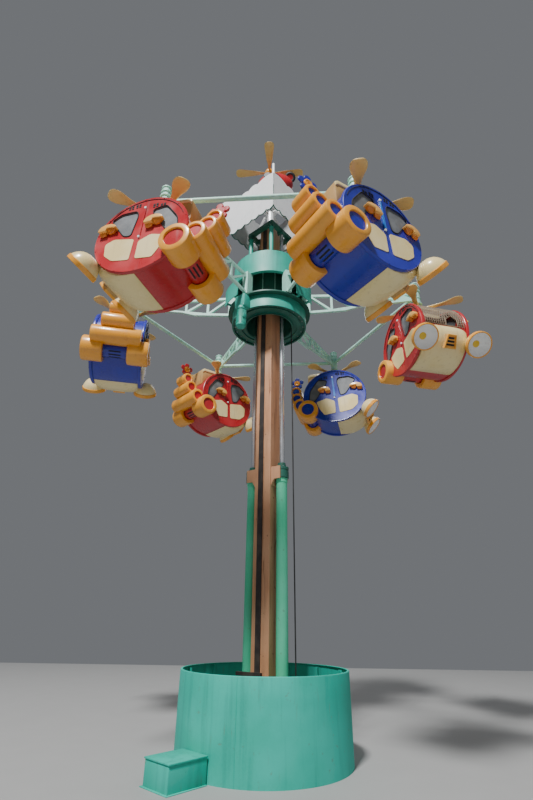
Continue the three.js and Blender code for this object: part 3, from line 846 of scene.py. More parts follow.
class NodeTree:
    """A Geometry Nodes tree built by name."""

    def __init__(self, name: str, inputs: dict[str, tuple[str, object]]) -> None:
        """Starts a tree with a geometry in and out.

        Args:
            name: the tree's name.
            inputs: input name to socket type and default value.
        """
        self.tree = bpy.data.node_groups.new(name, "GeometryNodeTree")
        face = self.tree.interface
        face.new_socket("Geometry", in_out="INPUT", socket_type="NodeSocketGeometry")
        self.keys: dict[str, str] = {}
        for title, (kind, value) in inputs.items():
            socket = face.new_socket(title, in_out="INPUT", socket_type=kind)
            socket.default_value = value
            self.keys[title] = socket.identifier
        face.new_socket("Geometry", in_out="OUTPUT", socket_type="NodeSocketGeometry")
        self.start = self.tree.nodes.new("NodeGroupInput")
        self.end = self.tree.nodes.new("NodeGroupOutput")

    def node(self, kind: str, inputs: dict) -> bpy.types.NodeSocket:
        """Adds a node.

        Args:
            kind: the node's type.
            inputs: socket name or number to a socket or a value.

        Returns:
            Its first output.
        """
        made = self.tree.nodes.new(kind)
        for key, value in inputs.items():
            if isinstance(value, bpy.types.NodeSocket):
                self.tree.links.new(value, made.inputs[key])
            else:
                made.inputs[key].default_value = value
        return made.outputs[0]

    def given(self, title: str) -> bpy.types.NodeSocket:
        """The socket of a named input."""
        return self.start.outputs[title]

    def close(self, geometry: bpy.types.NodeSocket, finish: Finish) -> None:
        """Ends the tree with real geometry in a finish.

        Args:
            geometry: what was made.
            finish: its finish.
        """
        real = self.node("GeometryNodeRealizeInstances", {0: geometry})
        dressed = self.node("GeometryNodeSetMaterial", {0: real, "Material": finish.material()})
        self.tree.links.new(dressed, self.end.inputs[0])

    def grow(self, name: str, base: bpy.types.Mesh, values: dict[str, object]) -> bpy.types.Object:
        """Runs the tree on a mesh.

        Args:
            name: the new object's name.
            base: the mesh that is its input.
            values: input name to value.

        Returns:
            A plain mesh object.
        """
        made = new_object(name, base)
        modifier = made.modifiers.new("grow", "NODES")
        modifier.node_group = self.tree
        for title, value in values.items():
            modifier[self.keys[title]] = value
        return settle(made)


@dataclass
class BoltRing:
    """Hexagon bolts evenly round a circle, made by nodes."""

    finish: Finish

    def tree(self) -> NodeTree:
        """Builds the nodes.

        Returns:
            The tree with its named inputs.
        """
        made = NodeTree(
            "bolt ring " + self.finish.name.lower(),
            {
                "Count": ("NodeSocketInt", 12),
                "Circle": ("NodeSocketFloat", 1.0),
                "Head": ("NodeSocketFloat", 0.012),
                "Rise": ("NodeSocketFloat", 0.01),
                "Height": ("NodeSocketFloat", 0.0),
            },
        )
        circle = {"Vertices": made.given("Count"), "Radius": made.given("Circle")}
        ring = made.node("GeometryNodeMeshCircle", circle)
        hexagon = {"Vertices": 6, "Radius": made.given("Head"), "Depth": made.given("Rise")}
        head = made.node("GeometryNodeMeshCylinder", hexagon)
        copies = made.node("GeometryNodeInstanceOnPoints", {"Points": ring, "Instance": head})
        lift = made.node("ShaderNodeCombineXYZ", {"Z": made.given("Height")})
        placed = made.node("GeometryNodeTransform", {0: copies, "Translation": lift})
        made.close(placed, self.finish)
        return made

    def add(
        self, form: Form, place: Matrix, count: int, circle: float, head: float, heights: Sequence[float]
    ) -> None:
        """Adds rings of bolts to a form.

        Args:
            form: where they go.
            place: moves the rings.
            count: number of bolts in a ring.
            circle: radius of the circle.
            head: radius of a head.
            heights: Z of each ring's heads.
        """
        tree = self.tree()
        for height in heights:
            values = {"Count": count, "Circle": circle, "Head": head, "Rise": head, "Height": height}
            made = tree.grow("bolts", bpy.data.meshes.new("bolts"), values)
            form.add(made.data, [self.finish] * len(made.data.materials), place)
            bpy.data.objects.remove(made)


def paddle(sections: Sequence[Point], height: float) -> tuple[bpy.types.Mesh, list[Finish]]:
    """One twisted paddle blade along X.

    Args:
        sections: distance from the hub, half chord and half thickness of each section.
        height: Z of the blade's middle.

    Returns:
        The mesh and its finishes.
    """
    form = Form().use(Finish.BLADE)
    rows = []
    tip = sections[-1][0]
    for x, half, thick in sections:
        twist = math.radians(9) * min(1.0, 1.6 * x / tip)
        row = []
        for k in range(12):
            angle = 2 * math.pi * k / 12
            y = half * math.copysign(abs(math.cos(angle)) ** 0.8, math.cos(angle))
            z = thick * math.copysign(abs(math.sin(angle)) ** 0.8, math.sin(angle))
            row.append((x, y * math.cos(twist), height + z + 0.12 * y * math.sin(twist)))
        rows.append(row)
    form.rings(rows)
    return form.pattern("blade", subdivide=1)


@dataclass
class WireCloth:
    """Round wire along every edge of a sheet, made by nodes."""

    finish: Finish

    def weave(self, name: str, sheet: bpy.types.Mesh, wire: float) -> bpy.types.Object:
        """Turns a sheet's edges into wires.

        Args:
            name: the object's name.
            sheet: mesh whose edges are the wires.
            wire: wire radius.

        Returns:
            The wires as one object.
        """
        made = NodeTree("wire cloth", {"Wire": ("NodeSocketFloat", 0.001)})
        lines = made.node("GeometryNodeMeshToCurve", {0: made.given("Geometry")})
        triangle = {"Resolution": 3, "Radius": made.given("Wire")}
        section = made.node("GeometryNodeCurvePrimitiveCircle", triangle)
        wires = made.node("GeometryNodeCurveToMesh", {0: lines, 1: section})
        made.close(wires, self.finish)
        return made.grow(name, sheet, {"Wire": wire})


@dataclass
class PitWall:
    """Round sheet wall on the ground, with stiffeners inside and a box beside it."""

    radius: float = 1.13
    wall: float = 0.01
    height: float = 1.02
    steps: int = 160
    ribs: int = 12
    box_centre: Flat = (-0.9239, -1.0304)
    box_turn: float = math.radians(-42)
    box_size: Point = (0.43, 0.51, 0.26)

    def build(self) -> None:
        """Makes the wall, its ribs and the box."""
        form = Form().use(Finish.DRUM)
        r, t, h = self.radius, self.wall, self.height
        profile = [
            (r, 0.0), (r, h * 0.25), (r, h * 0.5), (r, h * 0.75), (r, h - 0.012), (r - 0.002, h - 0.004),
            (r - 0.005, h - 0.001), (r - 0.028, h - 0.001), (r - 0.03, h - 0.004), (r - 0.03, h - 0.01),
            (r - t, h - 0.014), (r - t, 0.0),
        ]
        form.lathe(profile, steps=self.steps, loop=True)
        for i in range(self.ribs):
            place = turned(2 * math.pi * (i + 0.5) / self.ribs)
            form.block((r - t - 0.05, -0.005, 0.0), (r - t + 0.002, 0.005, h - 0.03), place)
            form.block((r - t - 0.055, -0.02, 0.0), (r - t - 0.047, 0.02, h - 0.03), place)
        for angle in (75, 255):
            place = turned(math.radians(angle))
            form.tube([place @ Vector((r - 0.0005, 0, z)) for z in (0.0, 0.3, 0.6, h - 0.015)], 0.0035, 8)
        form.piece("pit_wall", "base", Slot.TEAL, "drum_left", "drum_right")

        width, depth, height = self.box_size
        place = moved(*self.box_centre, 0) @ turned(self.box_turn)
        box = Form().use(Finish.DRUM)
        layers = ((0.0, 0.0, height - 0.01), (0.01, height - 0.016, height), (0.026, 0.0, 0.008))
        for out, low, high in layers:
            near = (-width / 2 - out, -depth / 2 - out, low)
            box.block(near, (width / 2 + out, depth / 2 - 0.002, high), place)
        box.piece("service_box", "base", Slot.MINT, "junction_box", bevel=0.003)


@dataclass
class Mast:
    """Square mast, its foot, guide strip and the lifting cylinders."""

    cylinder_radius: float = 0.084
    cylinder_top: float = 3.62
    collar_top: float = 3.8
    collar_radius: float = 0.112
    gland_radius: float = 0.07

    def build(self) -> None:
        """Dresses the mast and makes the cylinders."""
        dress("mast", Finish.TAN, 0.012)
        dress("mast_foot", Finish.TAN, 0.003)
        dress("mast_guide_strip", Finish.STRIP, 0.003)
        dress("cylinder_clamp_left", Finish.TAN, 0.003)
        dress("cylinder_clamp_right", Finish.TAN, 0.003)
        for name, side in (("left", -1), ("right", 1)):
            self.cylinder(name, side)

    def cylinder(self, name: str, side: int) -> None:
        """Makes one cylinder with its stepped gland.

        Args:
            name: which one.
            side: -1 or 1 along the mast's own X.
        """
        place = turned(MAST_TURN) @ moved(side * CYLINDER_OFFSET, 0, 0)
        r, top = self.cylinder_radius, self.cylinder_top
        c, high = self.collar_radius, self.collar_top
        form = Form().use(Finish.CYLINDER)
        form.lathe(
            [
                (0, 0.031), (r + 0.016, 0.031), (r + 0.016, 0.06), (r, 0.066), (r, 1.3), (r, 2.5),
                (r, top - 0.07), (r + 0.008, top - 0.066), (r + 0.008, top - 0.002), (r, top), (0, top),
            ],
            place, 56,
        )
        form.use(Finish.DARK_GREEN)
        g, end = self.gland_radius, GLAND_TOP
        form.lathe(
            [
                (0, top + 0.001), (c - 0.004, top + 0.001), (c, top + 0.005), (c, high - 0.075),
                (c - 0.006, high - 0.07), (c - 0.006, high - 0.05), (c, high - 0.045), (c, high - 0.004),
                (c - 0.004, high), (g, high), (g, high + 0.036), (g - 0.004, high + 0.04),
                (g - 0.008, high + 0.04), (g - 0.008, end), (0.046, end), (0, end - 0.004),
            ],
            place, 56,
        )
        BoltRing(Finish.STEEL).add(form, place, 8, 0.092, 0.011, (high + 0.004,))
        form.piece("lift_cylinder_" + name, "base", Slot.MINT, "cylinder_" + name)


@dataclass
class Lift:
    """What the cylinders carry: rods, cable, hub, frame on top and the drive."""

    rod_radius: float = 0.045
    rod_top: float = 8.82
    clearance: float = 0.0005
    core_radius: float = 0.437
    ring_radius: float = 0.7
    cable_x: float = 0.42
    cable_radius: float = 0.0098
    cable_span: Flat = (0.031, 6.589)
    lid_radius: float = 0.58
    lid_hole: Flat = (0.4, 0.176)
    sleeve_offset: float = 0.276
    motor_azimuth: float = math.radians(-126.5)
    motor_distance: float = 0.8
    motor_radius: float = 0.08

    def build(self) -> None:
        """Makes the rods, the cable and the hub."""
        for name, side in (("left", -1), ("right", 1)):
            place = turned(MAST_TURN) @ moved(side * CYLINDER_OFFSET, 0, 0)
            form = Form().use(Finish.ROD)
            low, high = GLAND_TOP + self.clearance, self.rod_top - self.clearance
            heights = [low + (high - low) * i / 12 for i in range(13)]
            form.lathe([(0, low), *[(self.rod_radius, z) for z in heights], (0, high)], place, 40)
            rod = form.piece("lift_rod_" + name, "carriage", Slot.ROD, "rod_" + name)
            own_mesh(rod)
        form = Form().use(Finish.CABLE)
        low, high = self.cable_span
        heights = [low + (high - low) * i / 30 for i in range(31)]
        form.tube([Vector((self.cable_x, 0, z)) for z in heights], self.cable_radius, 12)
        cable = form.piece("supply_cable_sheath", "carriage", Slot.CABLE, "supply_cable")
        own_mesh(cable)
        self.hub()
        self.frame_on_top()
        self.drive()

    def hub(self) -> None:
        """Makes the fixed band, the core and its ribs."""
        turn = turned(MAST_TURN)
        form = Form().use(Finish.TEAL)
        inner = self.core_radius + self.clearance
        outer = self.ring_radius
        form.lathe(
            [
                (inner, 6.6), (inner + 0.012, 6.6), (inner + 0.012, 6.828), (outer - 0.012, 6.828),
                (outer - 0.012, 6.6), (outer - 0.004, 6.582), (outer, 6.586), (outer, 6.83),
                (outer - 0.004, 6.838), (inner, 6.84),
            ],
            turn, 120, True,
        )
        form.use(Finish.DARK_GREEN)
        for profile in (
            band(inner + 0.01, outer - 0.014, 6.62, 6.63),
            band(0.53, 0.6, 6.6, 6.622),
            band(inner - 0.0003, inner + 0.016, 6.581, 6.606),
            [(0.668, 6.584), (0.6955, 6.583), (0.6955, 6.606), (0.668, 6.606)],
        ):
            form.lathe(profile, turn, 96, True)
        BoltRing(Finish.STEEL).add(form, turn, 24, 0.64, 0.011, (6.615,))
        form.piece("hub_lower_band", "carriage", Slot.TEAL, "carriage_base")

        core = Form().use(Finish.DARK_GREEN)
        r = self.core_radius
        core.lathe(band(r - 0.012, r, 6.59, 7.88), turn, 96, True)
        plate = Form().use(Finish.DARK_GREEN)
        plate.prism(ellipse(self.lid_radius, self.lid_radius, 72), 7.88, 7.9, turn)
        lid = plate.object("hub_lid")
        hole = Form()
        x, y = self.lid_hole
        hole.block((-x, -y, 7.8), (x, y, 8.0), turn)
        carve(lid, hole.object("hole"))
        core.add(lid.data, [Finish.DARK_GREEN])
        bpy.data.objects.remove(lid)
        core.block((-0.06, 0.146, 7.84), (0.06, 0.23, 7.9), turn)
        core.block((0.03, -0.23, 7.84), (0.12, -0.146, 7.9), turn)
        core.use(Finish.MINT)
        for i in range(12):
            place = turn @ turned(2 * math.pi * (i + 0.5) / 12)
            core.block((r - 0.002, -0.006, 6.845), (r + 0.008, 0.006, 7.86), place)
        core.piece("hub_core", "carriage", Slot.DARK_GREEN, "carriage_core")

    def frame_on_top(self) -> None:
        """Dresses the square ring and makes its four post sleeves."""
        dress("top_frame", Finish.DARK_GREEN, 0.004)
        form = Form()
        bolts = BoltRing(Finish.STEEL)
        for x, y in ((1, 1), (1, -1), (-1, 1), (-1, -1)):
            place = turned(CROWN_TURN) @ moved(self.sleeve_offset * x, self.sleeve_offset * y, 0)
            form.use(Finish.TEAL)
            form.lathe(
                [
                    (0.043, 7.924), (0.044, 7.928), (0.044, 8.3), (0.044, 8.776), (0.043, 8.779),
                    (0.02, 8.779), (0.02, 7.924),
                ],
                place, 32, True,
            )
            form.use(Finish.DARK_GREEN)
            form.lathe([(0.03, 8.802), (0.055, 8.802), (0.05, 8.846), (0.03, 8.846)], place, 32, True)
            form.lathe([(0.03, 7.921), (0.055, 7.921), (0.05, 7.95), (0.03, 7.95)], place, 32, True)
            bolts.add(form, place, 6, 0.061, 0.007, (7.926, 8.776))
        form.piece("frame_post_sleeves", "carriage", Slot.TEAL, merge=False)

    def drive(self) -> None:
        """Makes the motor with its cooling ribs and gearbox."""
        place = turned(self.motor_azimuth) @ moved(self.motor_distance, 0, 0)
        form = Form().use(Finish.TEAL)
        r = self.motor_radius
        form.lathe(
            [
                (0, 6.154), (0.06, 6.154), (0.084, 6.17), (0.088, 6.2), (r, 6.205), (r, 6.5),
                (0.094, 6.51), (0.094, 6.558), (0, 6.558),
            ],
            place, 40,
        )
        for i in range(24):
            fin = place @ turned(2 * math.pi * i / 24)
            form.block((r - 0.002, -0.002, 6.21), (0.091, 0.002, 6.495), fin)
        form.block((-0.098, -0.108, 6.56), (0.058, 0.108, 6.815), place)
        form.block((-0.03, 0.06, 6.32), (0.05, 0.093, 6.4), place)
        form.use(Finish.STEEL)
        for y in (-0.085, 0.085):
            for z in (6.585, 6.79):
                bolt = place @ moved(0.058, y, z) @ turned(math.pi / 2, "Y")
                form.lathe([(0, -0.001), (0.011, -0.001), (0.011, 0.0015), (0, 0.0019)], bolt, 6)
        form.piece("turning_motor", "carriage", Slot.DARK_GREEN, "gear_motor", bevel=0.003)


@dataclass
class Turntable:
    """Ring, upper band, covers, arms and tie bars."""

    band_radius: float = 0.705
    band_lip: float = 0.645
    band_from: float = 7.37
    band_to: float = 7.87
    band_inner: float = 0.56
    sheet: float = 0.012
    cover_azimuths: Flat = (-40, 215)
    cover_radius: float = 0.87
    tie_height: float = 7.212
    tie_radius: float = 0.038
    tie_gap: float = 0.069

    def build(self) -> None:
        """Makes the ring and the band and dresses the arms."""
        turn = turned(HEAD_TURN)
        form = Form().use(Finish.DARK_GREEN)
        form.lathe(
            [(0.45, 6.8405), (0.776, 6.8405), (0.78, 6.845), (0.78, 6.871), (0.776, 6.875), (0.45, 6.875)],
            turn, 120, True,
        )
        form.use(Finish.TEAL)
        for azimuth in self.cover_azimuths:
            arc = [math.radians(azimuth - 15 + 30 * i / 12) for i in range(13)]
            outside = [around(self.cover_radius, angle) for angle in arc]
            inside = [around(self.cover_radius - self.sheet, angle) for angle in reversed(arc)]
            form.prism([*outside, *inside], 6.846, 7.2)
            for offset in (-9, 9):
                place = turned(math.radians(azimuth + offset))
                form.block((0.76, -0.02, 6.846), (0.862, 0.02, 6.87), place)
        form.piece("turntable_lower_ring", "turntable", Slot.DARK_GREEN, "turntable_ring")

        upper = Form().use(Finish.TEAL)
        r, low, high = self.band_radius, self.band_from, self.band_to
        inner, lip, sheet = self.band_inner, self.band_lip, self.sheet
        upper.lathe(
            [
                (lip, low), (r - 0.003, low), (r, low + 0.004), (r, high - 0.004), (r - 0.004, high),
                (inner, high), (inner, high - sheet), (r - sheet, high - sheet), (r - sheet, low + sheet),
                (lip, low + sheet),
            ],
            turn, 120, True,
        )
        upper.piece("turntable_upper_band", "turntable", Slot.MINT, "turntable_band")
        for i in range(6):
            dress(f"arm_{i + 1}", Finish.MINT, 0.003)
            self.tie(i)
            self.tip(i)

    def tip(self, i: int) -> None:
        """Makes the stepped trim and bolts of one arm tip.

        Args:
            i: which arm.
        """
        place = moved(*arm_tip(i, 0))
        form = Form().use(Finish.MINT)
        trims = ((0.092, 7.004, 7.02), (0.08, 7.13, 7.142), (0.086, 7.38, 7.396), (0.082, 7.47, 7.486))
        for radius, low, high in trims:
            form.lathe(band(0.068, radius, low, high), place, 32, True)
        bolts = BoltRing(Finish.STEEL)
        bolts.add(form, place, 8, 0.081, 0.006, (7.0225, 7.314))
        bolts.add(form, place, 6, 0.05, 0.007, (7.502,))
        form.piece(f"tip_trim_{i + 1}", "turntable", Slot.MINT, merge=False)

    def tie(self, i: int) -> None:
        """Makes one round tie bar.

        Args:
            i: which side of the hexagon.
        """
        start, end = [Vector(arm_tip(k, self.tie_height)) for k in (i, i + 1)]
        gap = (end - start).normalized() * self.tie_gap
        form = Form().use(Finish.MINT)
        form.tube([start + gap, end - gap], self.tie_radius, 32)
        form.piece(f"tie_tube_{i + 1}", "turntable", Slot.MINT, f"tie_bar_{i + 1}")


@dataclass
class Cabin:
    """One helicopter cabin, built about its own middle and copied to each arm tip."""

    rim: Flat = (0.695, 0.64)
    hull: Flat = (0.667, 0.612)
    cavity: Flat = (0.643, 0.588)
    cavity_half: float = 0.427
    steps: int = 96
    front_window: Outline = (
        (0.485, 0.361), (0.338, 0.444), (0.093, 0.432), (0.068, 0.332), (0.137, -0.012), (0.249, 0.011),
    )
    rear_window: Outline = (
        (-0.155, 0.319), (-0.162, 0.39), (-0.355, 0.408), (-0.534, 0.147), (-0.56, -0.069), (-0.504, -0.172),
        (-0.411, -0.086),
    )
    front_panel: Outline = (
        (0.513, -0.061), (0.383, -0.007), (0.072, -0.086), (0.102, -0.429), (0.367, -0.38), (0.5, -0.261),
    )
    rear_panel: Outline = (
        (0.002, -0.14), (-0.175, -0.066), (-0.402, -0.14), (-0.342, -0.307), (-0.233, -0.466), (0.015, -0.43),
    )
    hatch: Outline = ((0.015, -0.09), (0.235, -0.09), (0.235, 0.13), (0.14, 0.27), (0.02, 0.11))
    hood: Outline = (
        (-7, 0.013), (-9, 0.045), (-12, 0.073), (-15, 0.094), (-19, 0.114), (-26, 0.132), (-36, 0.144),
        (-50, 0.137), (-63, 0.109), (-76, 0.059), (-87, 0.004),
    )
    lamp_centre: Point = (0.798, 0.486, -0.451)
    lamp_tilt: float = math.radians(42.5)
    flower: Point = (-0.898, -0.045, 0.6)
    log_rows: tuple[tuple[float, ...], ...] = (
        (0.22, 0.2, 0.562, -0.585, -0.333),
        (0.22, -0.562, -0.2, -0.585, -0.333),
        (0.165, -0.422, 0.422, -0.776, -0.152),
        (0.14, -0.273, 0.273, -0.872, 0.093),
        (0.125, -0.164, 0.164, -0.91, 0.327),
    )
    face: float = 0.444
    trim_face: float = 0.4445
    window_corner: float = 0.05
    windscreen_half: float = 0.345
    nose_half: float = 0.384
    screen_half: float = 0.372
    screen_gap: float = 0.014
    screen_wire: float = 0.0042
    handle_scale: float = 0.85
    blade_height: float = 0.746
    blade_start: float = 50

    def hull_point(self, angle: float, grow: float) -> Flat:
        """Point of the hull's outline, moved outwards."""
        a, b = self.hull
        return (a + grow) * math.cos(angle), (b + grow) * math.sin(angle)

    def rounded(self, outline: Sequence[Flat], radius: float, steps: int = 4) -> list[Flat]:
        """Rounds the corners of an outline.

        Args:
            outline: corner points.
            radius: how far from a corner the curve starts.
            steps: points on each corner.

        Returns:
            The rounded outline.
        """
        result = []
        for i, corner in enumerate(outline):
            here = Vector(corner)
            before = Vector(outline[i - 1])
            after = Vector(outline[(i + 1) % len(outline)])
            start = here + (before - here).normalized() * min(radius, (before - here).length * 0.45)
            end = here + (after - here).normalized() * min(radius, (after - here).length * 0.45)
            for k in range(steps + 1):
                t = k / steps
                result.append(tuple((1 - t) ** 2 * start + 2 * t * (1 - t) * here + t * t * end))
        return result

    def rim_ring(self, side: int) -> list[list[Point]]:
        """Rings of a side disc with a rolled edge.

        Args:
            side: -1 or 1.

        Returns:
            Rings from the outside face in.
        """
        a, b = self.rim
        section = [
            (-0.03, 0.441), (-0.012, 0.445), (-0.003, 0.437), (0.0, 0.425), (0.0, 0.408), (-0.004, 0.396),
            (-0.012, 0.389), (-0.03, 0.387),
        ]
        return [
            [(x, side * y, z) for x, z in ellipse(a + grow, b + grow, self.steps)] for grow, y in section
        ]

    def shell(self, paint: Finish) -> tuple[bpy.types.Mesh, list[Finish]]:
        """Hollow body with windows and windscreen cut out.

        Args:
            paint: the cabin's colour.

        Returns:
            The mesh and its finishes.
        """
        form = Form().use(paint)
        form.side_prism(ellipse(*self.hull, self.steps), -0.4, 0.4)
        body = form.object("shell")
        for side in (-1, 1):
            rim = Form().use(paint)
            rim.rings(self.rim_ring(side))
            carve(body, rim.object("rim"), "UNION")
        inside = Form().use(Finish.SHADE)
        inside.side_prism(ellipse(*self.cavity, self.steps), -self.cavity_half, self.cavity_half)
        carve(body, inside.object("inside"))
        a, b = self.hull
        arc = [math.radians(angle) for angle in (-5, 5, 15, 27, 39, 51, 63, 75)]
        outline = [(a * 1.15 * math.cos(t), b * 1.15 * math.sin(t)) for t in arc]
        outline += [(a * 0.8 * math.cos(t), b * 0.8 * math.sin(t)) for t in reversed(arc)]
        cutters = Form().use(paint)
        cutters.side_prism(outline, -self.windscreen_half, self.windscreen_half)
        form = Form().use(Finish.SCREEN)
        below = [math.radians(angle) for angle in (-16, -13, -10, -7, -4)]
        low = [self.hull_point(t, 0.003) for t in below]
        high = [self.hull_point(t, -0.01) for t in reversed(below)]
        form.side_prism([*low, *high], -0.38, 0.38)
        carve(body, form.object("strip"), "UNION")
        for window in (self.front_window, self.rear_window):
            outline = self.rounded(window, self.window_corner)
            cutters.side_prism(outline, -0.5, -0.425)
            cutters.side_prism(outline, 0.425, 0.5)
        carve(body, cutters.object("cutters", merge=False))
        mesh = body.data
        finishes = [next(f for f in Finish if f.value.name == m.name) for m in mesh.materials]
        bpy.data.objects.remove(body)
        return mesh, finishes

    def side_details(self, form: Form, paint: Finish) -> None:
        """Panels, vents, a line of painted shade in the rim groove, panes, latches and screws on both sides.

        Args:
            form: where they are added.
            paint: the cabin's colour.
        """
        for side in (-1, 1):
            place = mirrored(side)
            form.use(Finish.CREAM)
            for panel in (self.front_panel, self.rear_panel):
                form.side_prism(self.rounded(panel, 0.035), 0.4415, 0.4475, place)
            form.use(Finish.SHADE)
            for x, z in ((0.206, 0.545), (0.093, 0.545), (-0.178, 0.475), (-0.294, 0.444)):
                for dx in (-0.023, 0.023):
                    for dz in (-0.036, 0.002):
                        low = (x + dx - 0.016, 0.4405, z + dz - 0.013)
                        form.block(low, (x + dx + 0.016, 0.4459, z + dz + 0.013), place)
            a, b = self.rim
            # A thin dark tube along the rim groove, in the shaded-opening finish: painted shade of the
            # groove.
            arc = [math.radians(angle) for angle in range(18, 166, 6)]
            groove_shade = [(0.93 * a * math.cos(u), self.trim_face, 0.93 * b * math.sin(u)) for u in arc]
            form.tube([place @ Vector(point) for point in groove_shade], 0.0045, 6)
            for window in (self.front_window, self.rear_window):
                edge = self.rounded(window, self.window_corner)
                border = [place @ Vector((x, self.trim_face, z)) for x, z in [*edge, edge[0]]]
                form.tube(border, 0.0075, 6)
            form.use(Finish.PANE)
            for window in (self.front_window, self.rear_window):
                middle = sum((Vector(p) for p in window), Vector((0, 0))) / len(window)
                pane = [tuple(middle + (Vector(p) - middle) * 1.04) for p in window]
                form.side_prism(pane, 0.4275, 0.4305, place)
            form.use(Finish.SKY if paint is Finish.BLUE else paint)
            bar = [(-0.04, 0.43), (-0.012, 0.43), (0.03, -0.03), (-0.012, -0.03)]
            form.side_prism(self.rounded(bar, 0.01), self.face, 0.4545, place)
            form.use(Finish.LAMP_WHITE)
            for x, z in ((-0.026, 0.455), (0.004, -0.06)):
                form.block((x - 0.014, self.face, z - 0.014), (x + 0.014, 0.4605, z + 0.014), place)
            form.use(paint)
            for k in range(14):
                u = 2 * math.pi * (k + 0.5) / 14
                head = moved(0.967 * a * math.cos(u), self.face, 0.967 * b * math.sin(u))
                outwards = place @ head @ turned(-math.pi / 2, "X")
                form.lathe([(0.008, 0), (0.008, 0.005), (0, 0.006)], outwards, 6)

    def handles(self, form: Form) -> None:
        """Wedges at the lower front corner of each window, on stepped brackets.

        Args:
            form: where they are added.
        """
        for side in (-1, 1):
            for x, z in ((0.494, 0.165), (-0.205, 0.134)):
                place = mirrored(side) @ moved(x, 0.445, z) @ Matrix.Scale(self.handle_scale, 4)
                form.use(Finish.HANDLE)
                shelf = [
                    (0.15, -0.045), (0.15, -0.01), (0.11, 0.05), (0.03, 0.082), (-0.07, 0.08), (-0.14, 0.05),
                    (-0.18, 0.0), (-0.165, -0.012), (0.0, 0.012), (0.012, -0.045),
                ]
                form.side_prism(self.rounded(shelf, 0.02), 0.0, 0.085, place)
                # The brackets under the shelf take a deep orange: the shade under the shelf painted into
                # their colour.
                form.use(Finish.DEEP_ORANGE)
                for outline in (
                    [(-0.15, -0.014), (-0.008, 0.008), (-0.008, -0.06), (-0.05, -0.074), (-0.11, -0.062)],
                    [(0.018, -0.047), (0.145, -0.047), (0.145, -0.085), (0.09, -0.098), (0.03, -0.082)],
                ):
                    rings = [
                        [place @ Vector((x, 0, z)) for x, z in outline],
                        [place @ Vector((x, 0.075 + 0.6 * min(z, 0), z)) for x, z in outline],
                    ]
                    form.rings(rings)

    def nose(self) -> tuple[bpy.types.Mesh, list[Finish]]:
        """Cream front that bulges out of the hull.

        Returns:
            The mesh and its finishes.
        """
        columns = 25
        rows = []
        for angle, out in self.hood:
            row, back = [], []
            for i in range(columns):
                share = -1 + 2 * i / (columns - 1)
                t = math.radians(angle - 6 * abs(share) ** 5 * (1 + angle / 90))
                crown = (1 - abs(share) ** 3.2) ** 0.5
                for points, grow in ((row, 0.002 + out * (0.35 + 0.65 * crown)), (back, 0.0008)):
                    x, z = self.hull_point(t, grow)
                    points.append((x, self.nose_half * share, z))
            rows.append([*row, *reversed(back)])
        form = Form().use(Finish.CREAM)
        form.rings(rows)
        return form.pattern("nose", bevel=0.01, segments=3)

    def lamps(self, form: Form) -> None:
        """Two round lamps on the nose.

        Args:
            form: where they are added.
        """
        x, y, z = self.lamp_centre
        for side in (-1, 1):
            place = moved(x, side * y, z) @ turned(math.pi / 2 + self.lamp_tilt, "Y")
            form.use(Finish.CREAM)
            form.lathe(
                [
                    (0, -0.238), (0.05, -0.234), (0.09, -0.222), (0.13, -0.199), (0.16, -0.17),
                    (0.188, -0.128), (0.205, -0.09), (0.212, -0.066), (0.203, -0.06), (0.1, -0.142),
                    (0, -0.16),
                ],
                place, 48,
            )
            form.use(Finish.ORANGE)
            form.lathe(
                [
                    (0.2, -0.072), (0.216, -0.07), (0.223, -0.06), (0.224, -0.03), (0.223, -0.006),
                    (0.216, 0.0), (0.204, 0.0), (0.2, -0.008),
                ],
                place, 48, True,
            )
            form.use(Finish.LAMP_WHITE)
            form.lathe(
                [
                    (0, -0.12), (0.05, -0.116), (0.1, -0.1), (0.15, -0.067), (0.185, -0.03), (0.201, -0.008),
                    (0.203, -0.05), (0.11, -0.125), (0, -0.135),
                ],
                place, 48,
            )
            form.use(Finish.YELLOW)
            form.lathe([(0, -0.1), (0.045, -0.101), (0.058, -0.106), (0.061, -0.122), (0, -0.122)], place, 32)

    def grille(self, form: Form) -> None:
        """Frame with three slots that stands out of the nose.

        Args:
            form: where it is added.
        """
        place = moved(0.735, 0, -0.42) @ turned(math.radians(35), "Y")
        outline = [(-0.075, 0.11), (0.075, 0.11), (0.105, -0.11), (-0.105, -0.11)]
        form.use(Finish.BROWN)
        back = ((1.1, -0.12), (1.0, 0.0))
        form.rings([[place @ Vector((x, y * s, z * s)) for y, z in outline] for s, x in back])
        form.use(Finish.ORANGE)
        frame_rows = ((1.04, -0.02), (1.06, 0.012), (1.0, 0.02), (0.84, 0.018), (0.8, 0.002))
        form.rings([[place @ Vector((x, y * s, z * s)) for y, z in outline] for s, x in frame_rows])
        form.use(Finish.SHADE)
        for k, z in enumerate((0.055, 0.0, -0.055)):
            width = 0.05 + 0.01 * k
            form.block((0.0, -width, z - 0.016), (0.006, width, z + 0.016), place)

